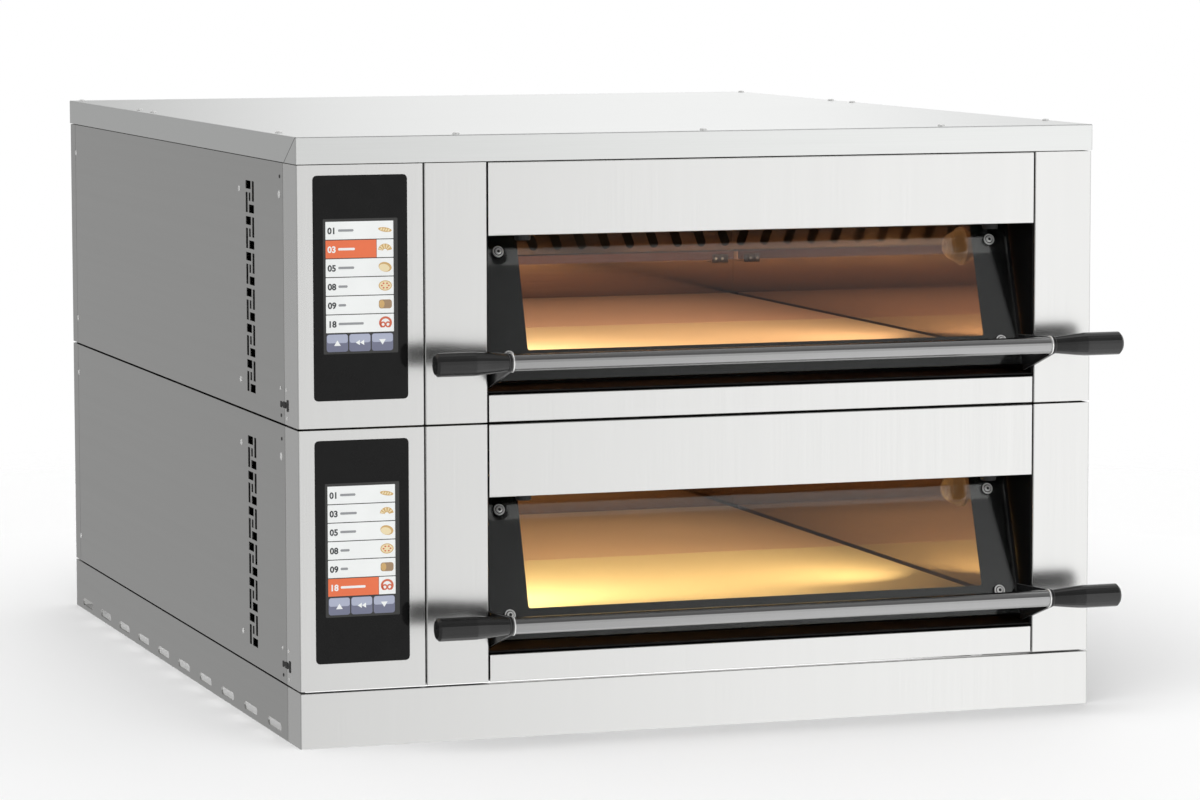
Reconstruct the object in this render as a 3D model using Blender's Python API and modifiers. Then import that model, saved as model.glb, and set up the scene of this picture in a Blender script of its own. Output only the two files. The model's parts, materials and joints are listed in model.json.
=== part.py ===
"""Two-deck electric countertop pizza oven, modelled piece by piece.

Each deck is a module of folded sheet steel round a heated chamber with a stone floor, closed by a
leaning glass door that hangs from its top edge. Two decks stand on a plinth, under one cover.

The cabinet is laid out in its own frame: X from its left side, Y back from its front face and Z up
from the table. The empty "oven_frame" moves that frame so that the world's origin is the middle of
the bottom of the whole oven. All sizes are in metres.
"""
import math

import bmesh
import bpy
from mathutils import Matrix, Vector

# ---------------------------------------------------------------- driving dimensions
WIDTH = 1.000
DEPTH = 1.237
PLINTH_TOP = 0.0655
DECK_BOTTOMS = {"lower": 0.0665, "upper": 0.3741}
DECK_HEIGHT = 0.3075
COVER_BOTTOM = 0.6815
COVER_TOP = 0.7130
COVER_OVERHANG = 0.001

SHEET = 0.0015              # outer skins
THIN_SHEET = 0.0012         # side, rear and chamber sheets
PLINTH_SHEET = 0.002
SEAM = 0.0012               # half of the dark joint between two stacked modules
CLEAR = 0.0003              # gap between pieces that touch
CUT = 0.010                 # how far a cutter reaches past the sheet
SUNK = 0.0005               # how far a joined boss stays inside its piece
ROUND_END = 0.47            # share of a slot's width that its rounded ends take

# front view, from the left side
CONTROL_RIGHT = 0.1520
POST_LEFT = (0.1535, 0.2293)
OPENING = (0.2310, 0.9240)  # between the black cheeks of the mouth
POST_RIGHT_START = 0.9257
CORNER_RETURN = 0.060       # how far the front pieces wrap round the sides
EDGE_RETURN = 0.020         # folds of the front skins behind their seams
JAMB_RETURN = 0.025         # folds of the posts beside the mouth
SIDE_FLANGE = 0.015
PANEL_GAP = 0.001           # between a side panel and the skins that wrap the corners
PLINTH_RIM = 0.012
PLINTH_JOINT = (0.0575, 0.0585)  # where the plinth's front and its frame end, from the front
REAR_RETURN = 0.0294
RAIL_HEIGHT = 0.0335
FASCIA_BOTTOM = 0.220       # above the deck's bottom
FASCIA_RETURN = 0.036
RAIL_RETURN = 0.030

# touch control
TOUCH_X = (0.0195, 0.1325)
TOUCH_Z = (0.033, 0.294)
TOUCH_CORNER = 0.005
TOUCH_THICK = 0.003
MODULE_INSET = 0.004
MODULE_Y = (0.0032, 0.0300)
MODULE_Z = (0.050, 0.270)

# chamber, above the deck's bottom
MOUTH_Y = (0.003, 0.096)
MOUTH_Z = (0.037, 0.262)
LIP_TOP = 0.0565            # the black upstand before the stones
CHAMBER_Y = (0.098, 1.068)
CHAMBER_HALF = 0.348
CHAMBER_TOP = 0.235
LEDGE_Z = 0.0365            # the stones rest on this fold of the chamber's wall
LEDGE_WIDTH = 0.016
TROUGH_Z = 0.010
STONE_THICK = 0.020
STONE_SIDE_GAP = 0.007
STONE_END_GAP = 0.001
STONE_JOINT = 0.0006        # half of the joint between the two stones
STONE_SPLIT_Y = 0.600
BACK_WALL_Y = 1.0645
BACK_RIB_Z = (0.104, 0.117)
BACK_RIB_DEPTH = 0.012
WOOL = 0.050
WOOL_TOP = 0.298
WOOL_REAR_GAP = 0.002
ELEMENT_RADIUS = 0.004
ELEMENT_RUNS = 6
ELEMENT_PITCH = 0.116
ELEMENT_CLEAR = 0.0006
ELEMENT_DROP = 0.004        # gap between the ceiling and the upper element
ELEMENT_ENDS = (0.030, 0.060)  # from the mouth to its front bends, and from the rear to its rear bends
LAMP_Y = 0.230
LAMP_Z = 0.177
LAMP_NECK = 0.016
LAMP_DOME = 0.019
LAMP_DOME_BASE = 0.006      # from the wall
LAMP_FLANGE = 0.024
LAMP_FLANGE_THICK = 0.0035
LAMP_DEPTH = 0.036          # of the neck, behind the wall
LAMP_FILLET = 0.0015
LAMP_CLEAR = 0.0005

# door, in its own frame: the origin is on the hinge, +X along it, -Y out of the glass, +Z up the pane
TILT = math.radians(18.8)
HINGE_Y = 0.0535
HINGE_Z = 0.236             # above the deck's bottom
GLASS_FACE = 0.0233         # from the hinge back to the glass's outer face
GLASS_THICK = 0.004
GLASS_HALF = 0.3385
PANE_TOP = 0.008
PANE_BOTTOM = -0.1907
FRAME_THICK = 0.006
FRAME_HALF = 0.3445
WINDOW_HALF = 0.296
WINDOW_Z = (-0.157, -0.008)
ARM_THICK = 0.004
ARM_LOW = (-0.007, -0.008)    # lower front corner of an arm, along Y and Z from its pin
ARM_CORNER = 0.004
PIN_RADIUS = 0.004
PIN_CLEAR = 0.00035
PIN_END = 0.353
BAR_Y = -0.0628
BAR_Z = -0.1893
BAR_RADIUS = 0.010
BAR_WALL = 0.0015
BRACKET_Z = (-0.1990, -0.1530)
BRACKET_NOSE = 0.0108
GRIP_END = 0.432
GRIP_RADIUS = 0.014
GRIP_NECK = 0.010
GRIP_SHOULDER = (0.026, 0.0128)  # length and radius of its cone
GRIP_FULL = 0.040           # from its inner end to its full radius
GRIP_ROUND = 0.003
BUFFER_X = 0.298
BUFFER_Y = 0.021
BUFFER_RADIUS = 0.0095
BUFFER_DROP = 0.007
BUFFER_CHAMFER = 0.001

# ventilation of the control compartment, left side only
VENT_Y = 0.1975
VENT_TOP = 0.278
VENT_PITCH = 0.0431
VENT_ROWS = 6
VENT_BAR = 0.0095           # width of the narrow slots
VENT_WIDE = 0.0245          # width of the square holes
VENT_WIDTH = 0.0400
VENT_SHORT = 0.010          # height of the square holes
VENT_GAP = 0.0042
VENT_INSET = 0.0015          # of the short slot, at both ends

# plinth slots
SLOT_COUNT = 10
SLOT_FIRST_Y = 0.121
SLOT_PITCH = 0.1158
SLOT_LENGTH = 0.063
SLOT_HEIGHT = 0.0102
SLOT_Z = 0.0112

# slanted air slots in the chamber's back wall
AIR_COUNT = 19
AIR_PITCH = 0.0361
AIR_LENGTH = 0.078
AIR_WIDTH = 0.013
AIR_Z = 0.161
AIR_SLANT = math.radians(20.0)

# cable gland on the rear of the lower deck
GLAND_X = 0.085
GLAND_Z = 0.060
GLAND_RADIUS = 0.013
GLAND_LENGTH = 0.026
GLAND_NECK = GLAND_RADIUS * 0.75
GLAND_BORE = GLAND_RADIUS * 0.45
GLAND_INSIDE = 0.012        # how far its neck reaches inside

# Screw heads on the cover
HEAD_RADIUS = 0.0042
HEAD_TOP_RADIUS = 0.0026
HEAD_HEIGHT = 0.0024
HEAD_FRONT_X = (0.196, 0.502, 0.807)
HEAD_FRONT_Y = 0.012
HEAD_SIDE_Y = (0.115, 0.765, 0.845, 1.205)
HEAD_SIDE_INSET = 0.010

DOOR_X = (OPENING[0] + OPENING[1]) / 2
GRIP_FRONT = HINGE_Y + BAR_Y * math.cos(TILT) + BAR_Z * math.sin(TILT) - GRIP_RADIUS
LOW = Vector((-COVER_OVERHANG, GRIP_FRONT, 0.0))
HIGH = Vector((DOOR_X + GRIP_END, DEPTH + GLAND_LENGTH, COVER_TOP + HEAD_HEIGHT))
ORIGIN = Vector(((LOW.x + HIGH.x) / 2, (LOW.y + HIGH.y) / 2, 0.0))

# ---------------------------------------------------------------- scene and helpers
for old in list(bpy.data.objects):
    bpy.data.objects.remove(old, do_unlink=True)

PARTS = bpy.data.collections.new("pizza_oven")
CUTTERS = bpy.data.collections.new("cutters")
bpy.context.scene.collection.children.link(PARTS)
bpy.context.scene.collection.children.link(CUTTERS)


def material(name, color, roughness, metallic=0.0, alpha=1.0):
    """A Principled material."""
    mat = bpy.data.materials.new(name)
    mat.use_nodes = True
    shader = mat.node_tree.nodes["Principled BSDF"]
    shader.inputs["Base Color"].default_value = (*color, 1.0)
    shader.inputs["Roughness"].default_value = roughness
    shader.inputs["Metallic"].default_value = metallic
    shader.inputs["Alpha"].default_value = alpha
    mat.diffuse_color = (*color, alpha)
    return mat


FRONT_STEEL = material("front_steel", (0.72, 0.72, 0.71), 0.30, 1.0)
SIDE_STEEL = material("side_steel", (0.42, 0.42, 0.41), 0.45, 1.0)
COVER_STEEL = material("cover_steel", (0.70, 0.71, 0.70), 0.40, 1.0)
CHAMBER_STEEL = material("chamber_steel", (0.50, 0.46, 0.40), 0.25, 1.0)
TUBE_STEEL = material("tube_steel", (0.62, 0.62, 0.61), 0.25, 1.0)
ENAMEL = material("black_enamel", (0.012, 0.012, 0.013), 0.35)
TOUCH_GLASS = material("touch_glass", (0.010, 0.010, 0.011), 0.06)
DOOR_GLASS = material("door_glass", (0.80, 0.84, 0.82), 0.02, 0.0, 0.25)
GRIP_PLASTIC = material("grip_plastic", (0.012, 0.012, 0.013), 0.22)
HOUSING = material("module_housing", (0.05, 0.05, 0.05), 0.60)
RUBBER = material("rubber", (0.015, 0.015, 0.015), 0.70)
STONE = material("stone", (0.62, 0.47, 0.28), 0.90)
ELEMENT = material("element", (0.16, 0.13, 0.11), 0.50, 0.8)
WOOL_MAT = material("mineral_wool", (0.55, 0.50, 0.36), 0.95)
LAMP_GLASS = material("lamp_glass", (0.95, 0.85, 0.55), 0.10)


def empty(name, parent, location, rotation=(0.0, 0.0, 0.0)):
    """A frame that pieces are placed in."""
    frame = bpy.data.objects.new(name, None)
    frame.parent = parent
    frame.location = location
    frame.rotation_euler = rotation
    PARTS.objects.link(frame)
    return frame


def add(name, bm, mat, parent, location=(0.0, 0.0, 0.0), collection=PARTS):
    """Make an object of a finished bmesh."""
    mesh = bpy.data.meshes.new(name)
    bm.to_mesh(mesh)
    bm.free()
    if mat is not None:
        mesh.materials.append(mat)
    piece = bpy.data.objects.new(name, mesh)
    piece.parent = parent
    piece.location = location
    collection.objects.link(piece)
    if collection is CUTTERS:
        piece.hide_render = True
        piece.display_type = "WIRE"
    return piece


def block(bm, low, high, corner=0.0, along=None, segments=3, turn=None):
    """Add a box to a bmesh, with its edges along one axis rounded, and turned about its middle."""
    low, high = Vector(low), Vector(high)
    size = high - low
    before = set(bm.verts)
    made = bmesh.ops.create_cube(bm, size=1.0, matrix=Matrix.Diagonal((*size, 1.0)))
    if corner:
        axis = "XYZ".index(along)
        edges = {edge for vert in made["verts"] for edge in vert.link_edges}
        chosen = [e for e in edges if abs((e.verts[0].co - e.verts[1].co)[axis]) > size[axis] * 0.99]
        bmesh.ops.bevel(bm, geom=chosen, offset=corner, segments=segments, profile=0.5, affect="EDGES")
    new = [vert for vert in bm.verts if vert not in before]
    if turn is not None:
        bmesh.ops.transform(bm, matrix=turn, verts=new)
    bmesh.ops.translate(bm, vec=(low + high) / 2, verts=new)


def box(name, low, high, mat, parent, corner=0.0, along="Y"):
    """A box piece between two corners, placed by its middle."""
    low, high = Vector(low), Vector(high)
    middle = (low + high) / 2
    bm = bmesh.new()
    block(bm, low - middle, high - middle, corner, along)
    return add(name, bm, mat, parent, middle)


def blocks(name, boxes, mat, parent, collection=CUTTERS):
    """Several boxes in one mesh: each is (low, high, options)."""
    bm = bmesh.new()
    for low, high, options in boxes:
        block(bm, low, high, **options)
    return add(name, bm, mat, parent, collection=collection)


def cylinder(name, start, end, radius, parent, segments=24):
    """A round cutter or boss between two points on a line along X or Y."""
    start, end = Vector(start), Vector(end)
    line = end - start
    turn = Vector((0, 0, 1)).rotation_difference(line).to_matrix().to_4x4()
    bm = bmesh.new()
    bmesh.ops.create_cone(bm, cap_ends=True, segments=segments, radius1=radius, radius2=radius,
                          depth=line.length, matrix=turn)
    return add(name, bm, None, parent, (start + end) / 2, CUTTERS)


def boolean(piece, other, operation="DIFFERENCE"):
    """Cut a piece with another, or join the other to it."""
    mod = piece.modifiers.new(other.name, "BOOLEAN")
    mod.operation = operation
    mod.object = other
    mod.solver = "EXACT"


def solidify(piece, thickness):
    """Give a surface its sheet thickness, on the side away from its normals."""
    mod = piece.modifiers.new("sheet", "SOLIDIFY")
    mod.thickness = thickness
    mod.offset = -1.0
    mod.use_even_offset = True


def face_out(bm, point, outside):
    """Make the normals agree, with the face nearest a point looking along outside."""
    bmesh.ops.recalc_face_normals(bm, faces=bm.faces)
    nearest = min(bm.faces, key=lambda face: (face.calc_center_median() - point).length)
    if nearest.normal.dot(Vector(outside)) < 0:
        bmesh.ops.reverse_faces(bm, faces=bm.faces)


def folded(name, points, start, end, axis, outside, thickness, mat, parent, closed=False):
    """A sheet folded along a line of points, drawn out along an axis.

    The points are (x, y) for a sheet drawn along Z, (y, z) along X and (x, z) along Y. The points
    lie on the outer face, and outside says where the first fold's outer face looks.
    """
    spread = {
        "X": lambda a, b, s: (s, a, b),
        "Y": lambda a, b, s: (a, s, b),
        "Z": lambda a, b, s: (a, b, s),
    }
    bm = bmesh.new()
    verts = [bm.verts.new(spread[axis](a, b, start)) for a, b in points]
    pairs = list(zip(verts, verts[1:]))
    if closed:
        pairs.append((verts[-1], verts[0]))
    edges = [bm.edges.new(pair) for pair in pairs]
    made = bmesh.ops.extrude_edge_only(bm, edges=edges)
    moved = [item for item in made["geom"] if isinstance(item, bmesh.types.BMVert)]
    bmesh.ops.translate(bm, vec=spread[axis](0, 0, end - start), verts=moved)
    first_fold = [(a + b) / 2 for a, b in zip(points[0], points[1])]
    face_out(bm, Vector(spread[axis](*first_fold, (start + end) / 2)), outside)
    piece = add(name, bm, mat, parent)
    solidify(piece, thickness)
    return piece


def tray(name, low, high, open_sides, thickness, mat, parent, flange=0.0):
    """A folded box that is open on some sides; a flange narrows the top to a rim."""
    low, high = Vector(low), Vector(high)
    size = high - low
    bm = bmesh.new()
    bmesh.ops.create_cube(bm, size=1.0, matrix=Matrix.Diagonal((*size, 1.0)))
    bmesh.ops.translate(bm, vec=(low + high) / 2, verts=bm.verts)
    bm.normal_update()
    gone = [f for f in bm.faces for side in open_sides if f.normal.dot(Vector(side)) > 0.9]
    if flange:
        top = [f for f in bm.faces if f.normal.z > 0.9]
        bmesh.ops.inset_region(bm, faces=top, thickness=flange)
        gone.extend(top)
    bmesh.ops.delete(bm, geom=gone, context="FACES")
    piece = add(name, bm, mat, parent)
    solidify(piece, thickness)
    return piece


def turned(name, profile, parent, location, rotation, mat, steps=24, ring=False):
    """A piece turned about its own Z: the profile runs from the top down its outer side.

    A ring's profile closes on itself, off the axis.
    """
    mesh = bpy.data.meshes.new(name)
    points = [(radius, 0.0, height) for radius, height in profile]
    edges = [(i, i + 1) for i in range(len(points) - 1)]
    if ring:
        edges.append((len(points) - 1, 0))
    mesh.from_pydata(points, edges, [])
    mesh.materials.append(mat)
    piece = bpy.data.objects.new(name, mesh)
    piece.parent = parent
    piece.location = location
    piece.rotation_euler = rotation
    PARTS.objects.link(piece)
    screw = piece.modifiers.new("turn", "SCREW")
    screw.axis = "Z"
    screw.steps = steps
    screw.render_steps = steps
    screw.use_merge_vertices = True
    screw.merge_threshold = 0.00005
    screw.use_smooth_shade = True
    return piece


ALONG_X = (0.0, math.radians(90.0), 0.0)
AGAINST_X = (0.0, math.radians(-90.0), 0.0)
ALONG_Y = (math.radians(-90.0), 0.0, 0.0)


# ---------------------------------------------------------------- plinth and cover
def make_plinth(root):
    """The front of the plinth wraps both corners; a platform on three walls carries the decks."""
    front_end, frame_start = PLINTH_JOINT
    tray("base_front", (0, 0, 0), (WIDTH, front_end, PLINTH_TOP), [(0, 1, 0), (0, 0, -1)],
         PLINTH_SHEET, FRONT_STEEL, root, flange=PLINTH_RIM)
    frame = tray("base_frame", (0, frame_start, 0), (WIDTH, DEPTH, PLINTH_TOP),
                 [(0, -1, 0), (0, 0, -1)], PLINTH_SHEET, SIDE_STEEL, root)
    slots = []
    for i in range(SLOT_COUNT):
        y = SLOT_FIRST_Y + i * SLOT_PITCH
        for x in (0.0, WIDTH):
            low = (x - CUT, y - SLOT_LENGTH / 2, SLOT_Z - SLOT_HEIGHT / 2)
            high = (x + CUT, y + SLOT_LENGTH / 2, SLOT_Z + SLOT_HEIGHT / 2)
            slots.append((low, high, {"corner": SLOT_HEIGHT * ROUND_END, "along": "X"}))
    boolean(frame, blocks("plinth_slots", slots, None, root))


def screw_heads(name, places, parent):
    """Low round heads on the cover's top, sunk a little into the sheet so that they join it."""
    sunk = SHEET / 2
    bm = bmesh.new()
    for x, y in places:
        middle = Matrix.Translation((x, y, COVER_TOP + (HEAD_HEIGHT - sunk) / 2))
        bmesh.ops.create_cone(bm, cap_ends=True, segments=12, radius1=HEAD_RADIUS,
                              radius2=HEAD_TOP_RADIUS, depth=HEAD_HEIGHT + sunk, matrix=middle)
    return add(name, bm, None, parent, collection=CUTTERS)


def make_cover(root):
    """The cover is a shallow tray, upside down over the upper deck, with its screw heads."""
    over = COVER_OVERHANG
    cover = tray("top_cover", (-over, -over, COVER_BOTTOM), (WIDTH + over, DEPTH + over, COVER_TOP),
                 [(0, 0, -1)], SHEET, COVER_STEEL, root)
    places = [(x, HEAD_FRONT_Y) for x in HEAD_FRONT_X]
    for y in HEAD_SIDE_Y:
        places.append((HEAD_SIDE_INSET, y))
        places.append((WIDTH - HEAD_SIDE_INSET, y))
    boolean(cover, screw_heads("cover_heads", places, root), "UNION")


# ---------------------------------------------------------------- one deck's casing
def make_front(deck, frame):
    """Control panel, posts, fascia and rail: the front skins of a deck."""
    low, high = SEAM, DECK_HEIGHT - SEAM
    fascia = folded(deck + "_control_fascia",
                    [(0, CORNER_RETURN), (0, 0), (CONTROL_RIGHT, 0), (CONTROL_RIGHT, EDGE_RETURN)],
                    low, high, "Z", (-1, 0, 0), SHEET, FRONT_STEEL, frame)
    hole = blocks(deck + "_touch_hole",
                  [((TOUCH_X[0] - CLEAR, -CUT, TOUCH_Z[0] - CLEAR),
                    (TOUCH_X[1] + CLEAR, CUT, TOUCH_Z[1] + CLEAR),
                    {"corner": TOUCH_CORNER, "along": "Y"})], None, frame)
    boolean(fascia, hole)
    post_start, post_end = POST_LEFT
    folded(deck + "_left_post",
           [(post_start, EDGE_RETURN), (post_start, 0), (post_end, 0), (post_end, JAMB_RETURN)],
           low, high, "Z", (-1, 0, 0), SHEET, FRONT_STEEL, frame)
    post_start = POST_RIGHT_START
    folded(deck + "_right_post",
           [(post_start, JAMB_RETURN), (post_start, 0), (WIDTH, 0), (WIDTH, CORNER_RETURN)],
           low, high, "Z", (-1, 0, 0), SHEET, FRONT_STEEL, frame)
    left, right = OPENING[0] + CLEAR, OPENING[1] - CLEAR
    folded(deck + "_upper_fascia",
           [(EDGE_RETURN, high), (0, high), (0, FASCIA_BOTTOM), (FASCIA_RETURN, FASCIA_BOTTOM)],
           left, right, "X", (0, 0, 1), SHEET, FRONT_STEEL, frame)
    folded(deck + "_lower_rail",
           [(RAIL_RETURN, RAIL_HEIGHT), (0, RAIL_HEIGHT), (0, low), (EDGE_RETURN, low)],
           left, right, "X", (0, 0, 1), SHEET, FRONT_STEEL, frame)


def make_control(deck, frame):
    """The touch glass sits in the fascia, and the electronics module hangs behind it."""
    box(deck + "_touch_panel", (TOUCH_X[0], -CLEAR, TOUCH_Z[0]),
        (TOUCH_X[1], TOUCH_THICK - CLEAR, TOUCH_Z[1]), TOUCH_GLASS, frame, corner=TOUCH_CORNER)
    box(deck + "_control_module", (TOUCH_X[0] + MODULE_INSET, MODULE_Y[0], MODULE_Z[0]),
        (TOUCH_X[1] - MODULE_INSET, MODULE_Y[1], MODULE_Z[1]), HOUSING, frame, corner=MODULE_INSET)


def vent_holes():
    """The ventilation pattern: each row is two square holes, two long slots and a short one."""
    front, back = VENT_Y, VENT_Y + VENT_WIDTH
    step = VENT_SHORT + VENT_GAP
    middle = (back - VENT_WIDE + VENT_INSET, back - VENT_BAR - VENT_GAP - VENT_INSET)
    holes = []
    for row in range(VENT_ROWS):
        top = VENT_TOP - row * VENT_PITCH
        for y0, y1, z1, height in (
                (back - VENT_WIDE, back, top, VENT_SHORT),
                (front, front + VENT_BAR, top, VENT_SHORT + step),
                (middle[0], middle[1], top - step, VENT_SHORT),
                (back - VENT_BAR, back, top - step, VENT_SHORT + step),
                (front, front + VENT_WIDE, top - 2 * step, VENT_SHORT)):
            holes.append(((-CUT, y0, z1 - height), (CUT, y1, z1), {}))
    return holes


def make_sides(deck, frame):
    """Side panels between the corner returns, and the rear panel that wraps the back corners."""
    low, high = SEAM, DECK_HEIGHT - SEAM
    start, end = CORNER_RETURN + PANEL_GAP, DEPTH - REAR_RETURN - PANEL_GAP
    left = folded(deck + "_left_side",
                  [(SIDE_FLANGE, start), (0, start), (0, end), (SIDE_FLANGE, end)],
                  low, high, "Z", (0, -1, 0), THIN_SHEET, SIDE_STEEL, frame)
    boolean(left, blocks(deck + "_vent_holes", vent_holes(), None, frame))
    folded(deck + "_right_side",
           [(WIDTH - SIDE_FLANGE, start), (WIDTH, start), (WIDTH, end), (WIDTH - SIDE_FLANGE, end)],
           low, high, "Z", (0, -1, 0), THIN_SHEET, SIDE_STEEL, frame)
    rear = folded(deck + "_rear_panel",
                  [(0, DEPTH - REAR_RETURN), (0, DEPTH), (WIDTH, DEPTH), (WIDTH, DEPTH - REAR_RETURN)],
                  low, high, "Z", (-1, 0, 0), THIN_SHEET, SIDE_STEEL, frame)
    if deck == "lower":
        make_gland(frame, rear)


def make_gland(frame, rear):
    """The cable gland: a nut outside the rear panel and a neck through it."""
    hole = cylinder("gland_hole", (GLAND_X, DEPTH - CUT, GLAND_Z), (GLAND_X, DEPTH + CUT, GLAND_Z),
                    GLAND_NECK + CLEAR, frame)
    boolean(rear, hole)
    profile = [(GLAND_BORE, GLAND_LENGTH), (GLAND_RADIUS * 0.8, GLAND_LENGTH),
               (GLAND_RADIUS, GLAND_LENGTH * 0.85), (GLAND_RADIUS, CLEAR), (GLAND_NECK, CLEAR),
               (GLAND_NECK, -GLAND_INSIDE), (GLAND_BORE, -GLAND_INSIDE)]
    turned("cable_gland", profile, frame, (GLAND_X, DEPTH, GLAND_Z), ALONG_Y, HOUSING,
           steps=12, ring=True)


# ---------------------------------------------------------------- one deck's chamber
def centred(value):
    """A place across the door's middle, in the cabinet's frame."""
    return DOOR_X + value


def serpentine(rear, front):
    """Points of a heating element: parallel runs from back to front, joined by half circles."""
    first = -ELEMENT_PITCH * (ELEMENT_RUNS - 1) / 2
    radius = ELEMENT_PITCH / 2
    points = [(centred(first), rear)]
    for run in range(ELEMENT_RUNS - 1):
        x = first + run * ELEMENT_PITCH + radius
        forward = run % 2 == 0
        y = front + radius if forward else rear - ELEMENT_ENDS[1] - radius
        for step in range(5):
            angle = math.pi * (1 - step / 4)
            bulge = -math.sin(angle) if forward else math.sin(angle)
            points.append((centred(x + radius * math.cos(angle)), y + radius * bulge))
    points.append((centred(-first), rear))
    return points


def make_element(name, frame, height, rear):
    """A sheathed heating element: a bent tube in one level."""
    curve = bpy.data.curves.new(name, "CURVE")
    curve.dimensions = "3D"
    curve.bevel_depth = ELEMENT_RADIUS
    curve.bevel_resolution = 2
    curve.use_fill_caps = True
    points = serpentine(rear, CHAMBER_Y[0] + ELEMENT_ENDS[0])
    spline = curve.splines.new("POLY")
    spline.points.add(len(points) - 1)
    for point, (x, y) in zip(spline.points, points):
        point.co = (x, y, height, 1.0)
    curve.materials.append(ELEMENT)
    element = bpy.data.objects.new(name, curve)
    element.parent = frame
    PARTS.objects.link(element)


def make_lamp(deck, frame, muffle, wool):
    """The chamber lamp: a domed glass on a flange, with its neck through the right wall."""
    wall = centred(CHAMBER_HALF)
    hole = cylinder(deck + "_lamp_hole", (wall - CUT, LAMP_Y, LAMP_Z),
                    (wall + WOOL + 2 * CUT, LAMP_Y, LAMP_Z), LAMP_NECK + LAMP_CLEAR, frame)
    boolean(muffle, hole)
    boolean(wool, hole)
    dome = []
    for degrees in (65, 40, 15):
        angle = math.radians(degrees)
        dome.append((LAMP_DOME * math.cos(angle), LAMP_DOME_BASE + LAMP_DOME * math.sin(angle)))
    profile = [(0.0, LAMP_DOME_BASE + LAMP_DOME), *dome,
               (LAMP_DOME + LAMP_FILLET, LAMP_FLANGE_THICK), (LAMP_FLANGE, LAMP_FLANGE_THICK),
               (LAMP_FLANGE, CLEAR), (LAMP_NECK, CLEAR), (LAMP_NECK, -LAMP_DEPTH), (0.0, -LAMP_DEPTH)]
    turned(deck + "_chamber_lamp", profile, frame, (wall, LAMP_Y, LAMP_Z), AGAINST_X, LAMP_GLASS,
           steps=20)


def air_slots():
    """Slanted slots across the back wall."""
    holes = []
    for i in range(AIR_COUNT):
        x = centred((i - (AIR_COUNT - 1) / 2) * AIR_PITCH)
        low = (x - AIR_WIDTH / 2, BACK_WALL_Y - CUT, AIR_Z - AIR_LENGTH / 2)
        high = (x + AIR_WIDTH / 2, BACK_WALL_Y + CUT, AIR_Z + AIR_LENGTH / 2)
        options = {"corner": AIR_WIDTH * ROUND_END, "along": "Y",
                   "turn": Matrix.Rotation(-AIR_SLANT, 4, "Y")}
        holes.append((low, high, options))
    return holes


def make_back_wall(deck, frame):
    """The chamber's back wall, with a rib across it, air slots and the top element's holes."""
    half = CHAMBER_HALF - CLEAR
    name = deck + "_chamber_back"
    back = box(name, (centred(-half), BACK_WALL_Y, LEDGE_Z + CLEAR),
               (centred(half), BACK_WALL_Y + THIN_SHEET, CHAMBER_TOP - CLEAR), CHAMBER_STEEL, frame)
    rib = blocks(deck + "_back_rib", [((centred(-half), BACK_WALL_Y - BACK_RIB_DEPTH, BACK_RIB_Z[0]),
                                       (centred(half), BACK_WALL_Y + THIN_SHEET / 2, BACK_RIB_Z[1]), {})],
                 None, frame)
    boolean(back, rib, "UNION")
    boolean(back, blocks(deck + "_air_slots", air_slots(), None, frame))
    reach = ELEMENT_PITCH * (ELEMENT_RUNS - 1) / 2
    for side in (-1, 1):
        x, z = centred(side * reach), top_element_height()
        boolean(back, cylinder(deck + "_terminal_hole_" + str(side), (x, BACK_WALL_Y - CUT, z),
                               (x, BACK_WALL_Y + CUT, z), ELEMENT_RADIUS + ELEMENT_CLEAR, frame,
                               segments=12))


def top_element_height():
    """The upper element hangs just under the ceiling."""
    return CHAMBER_TOP - ELEMENT_DROP - ELEMENT_RADIUS


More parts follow.
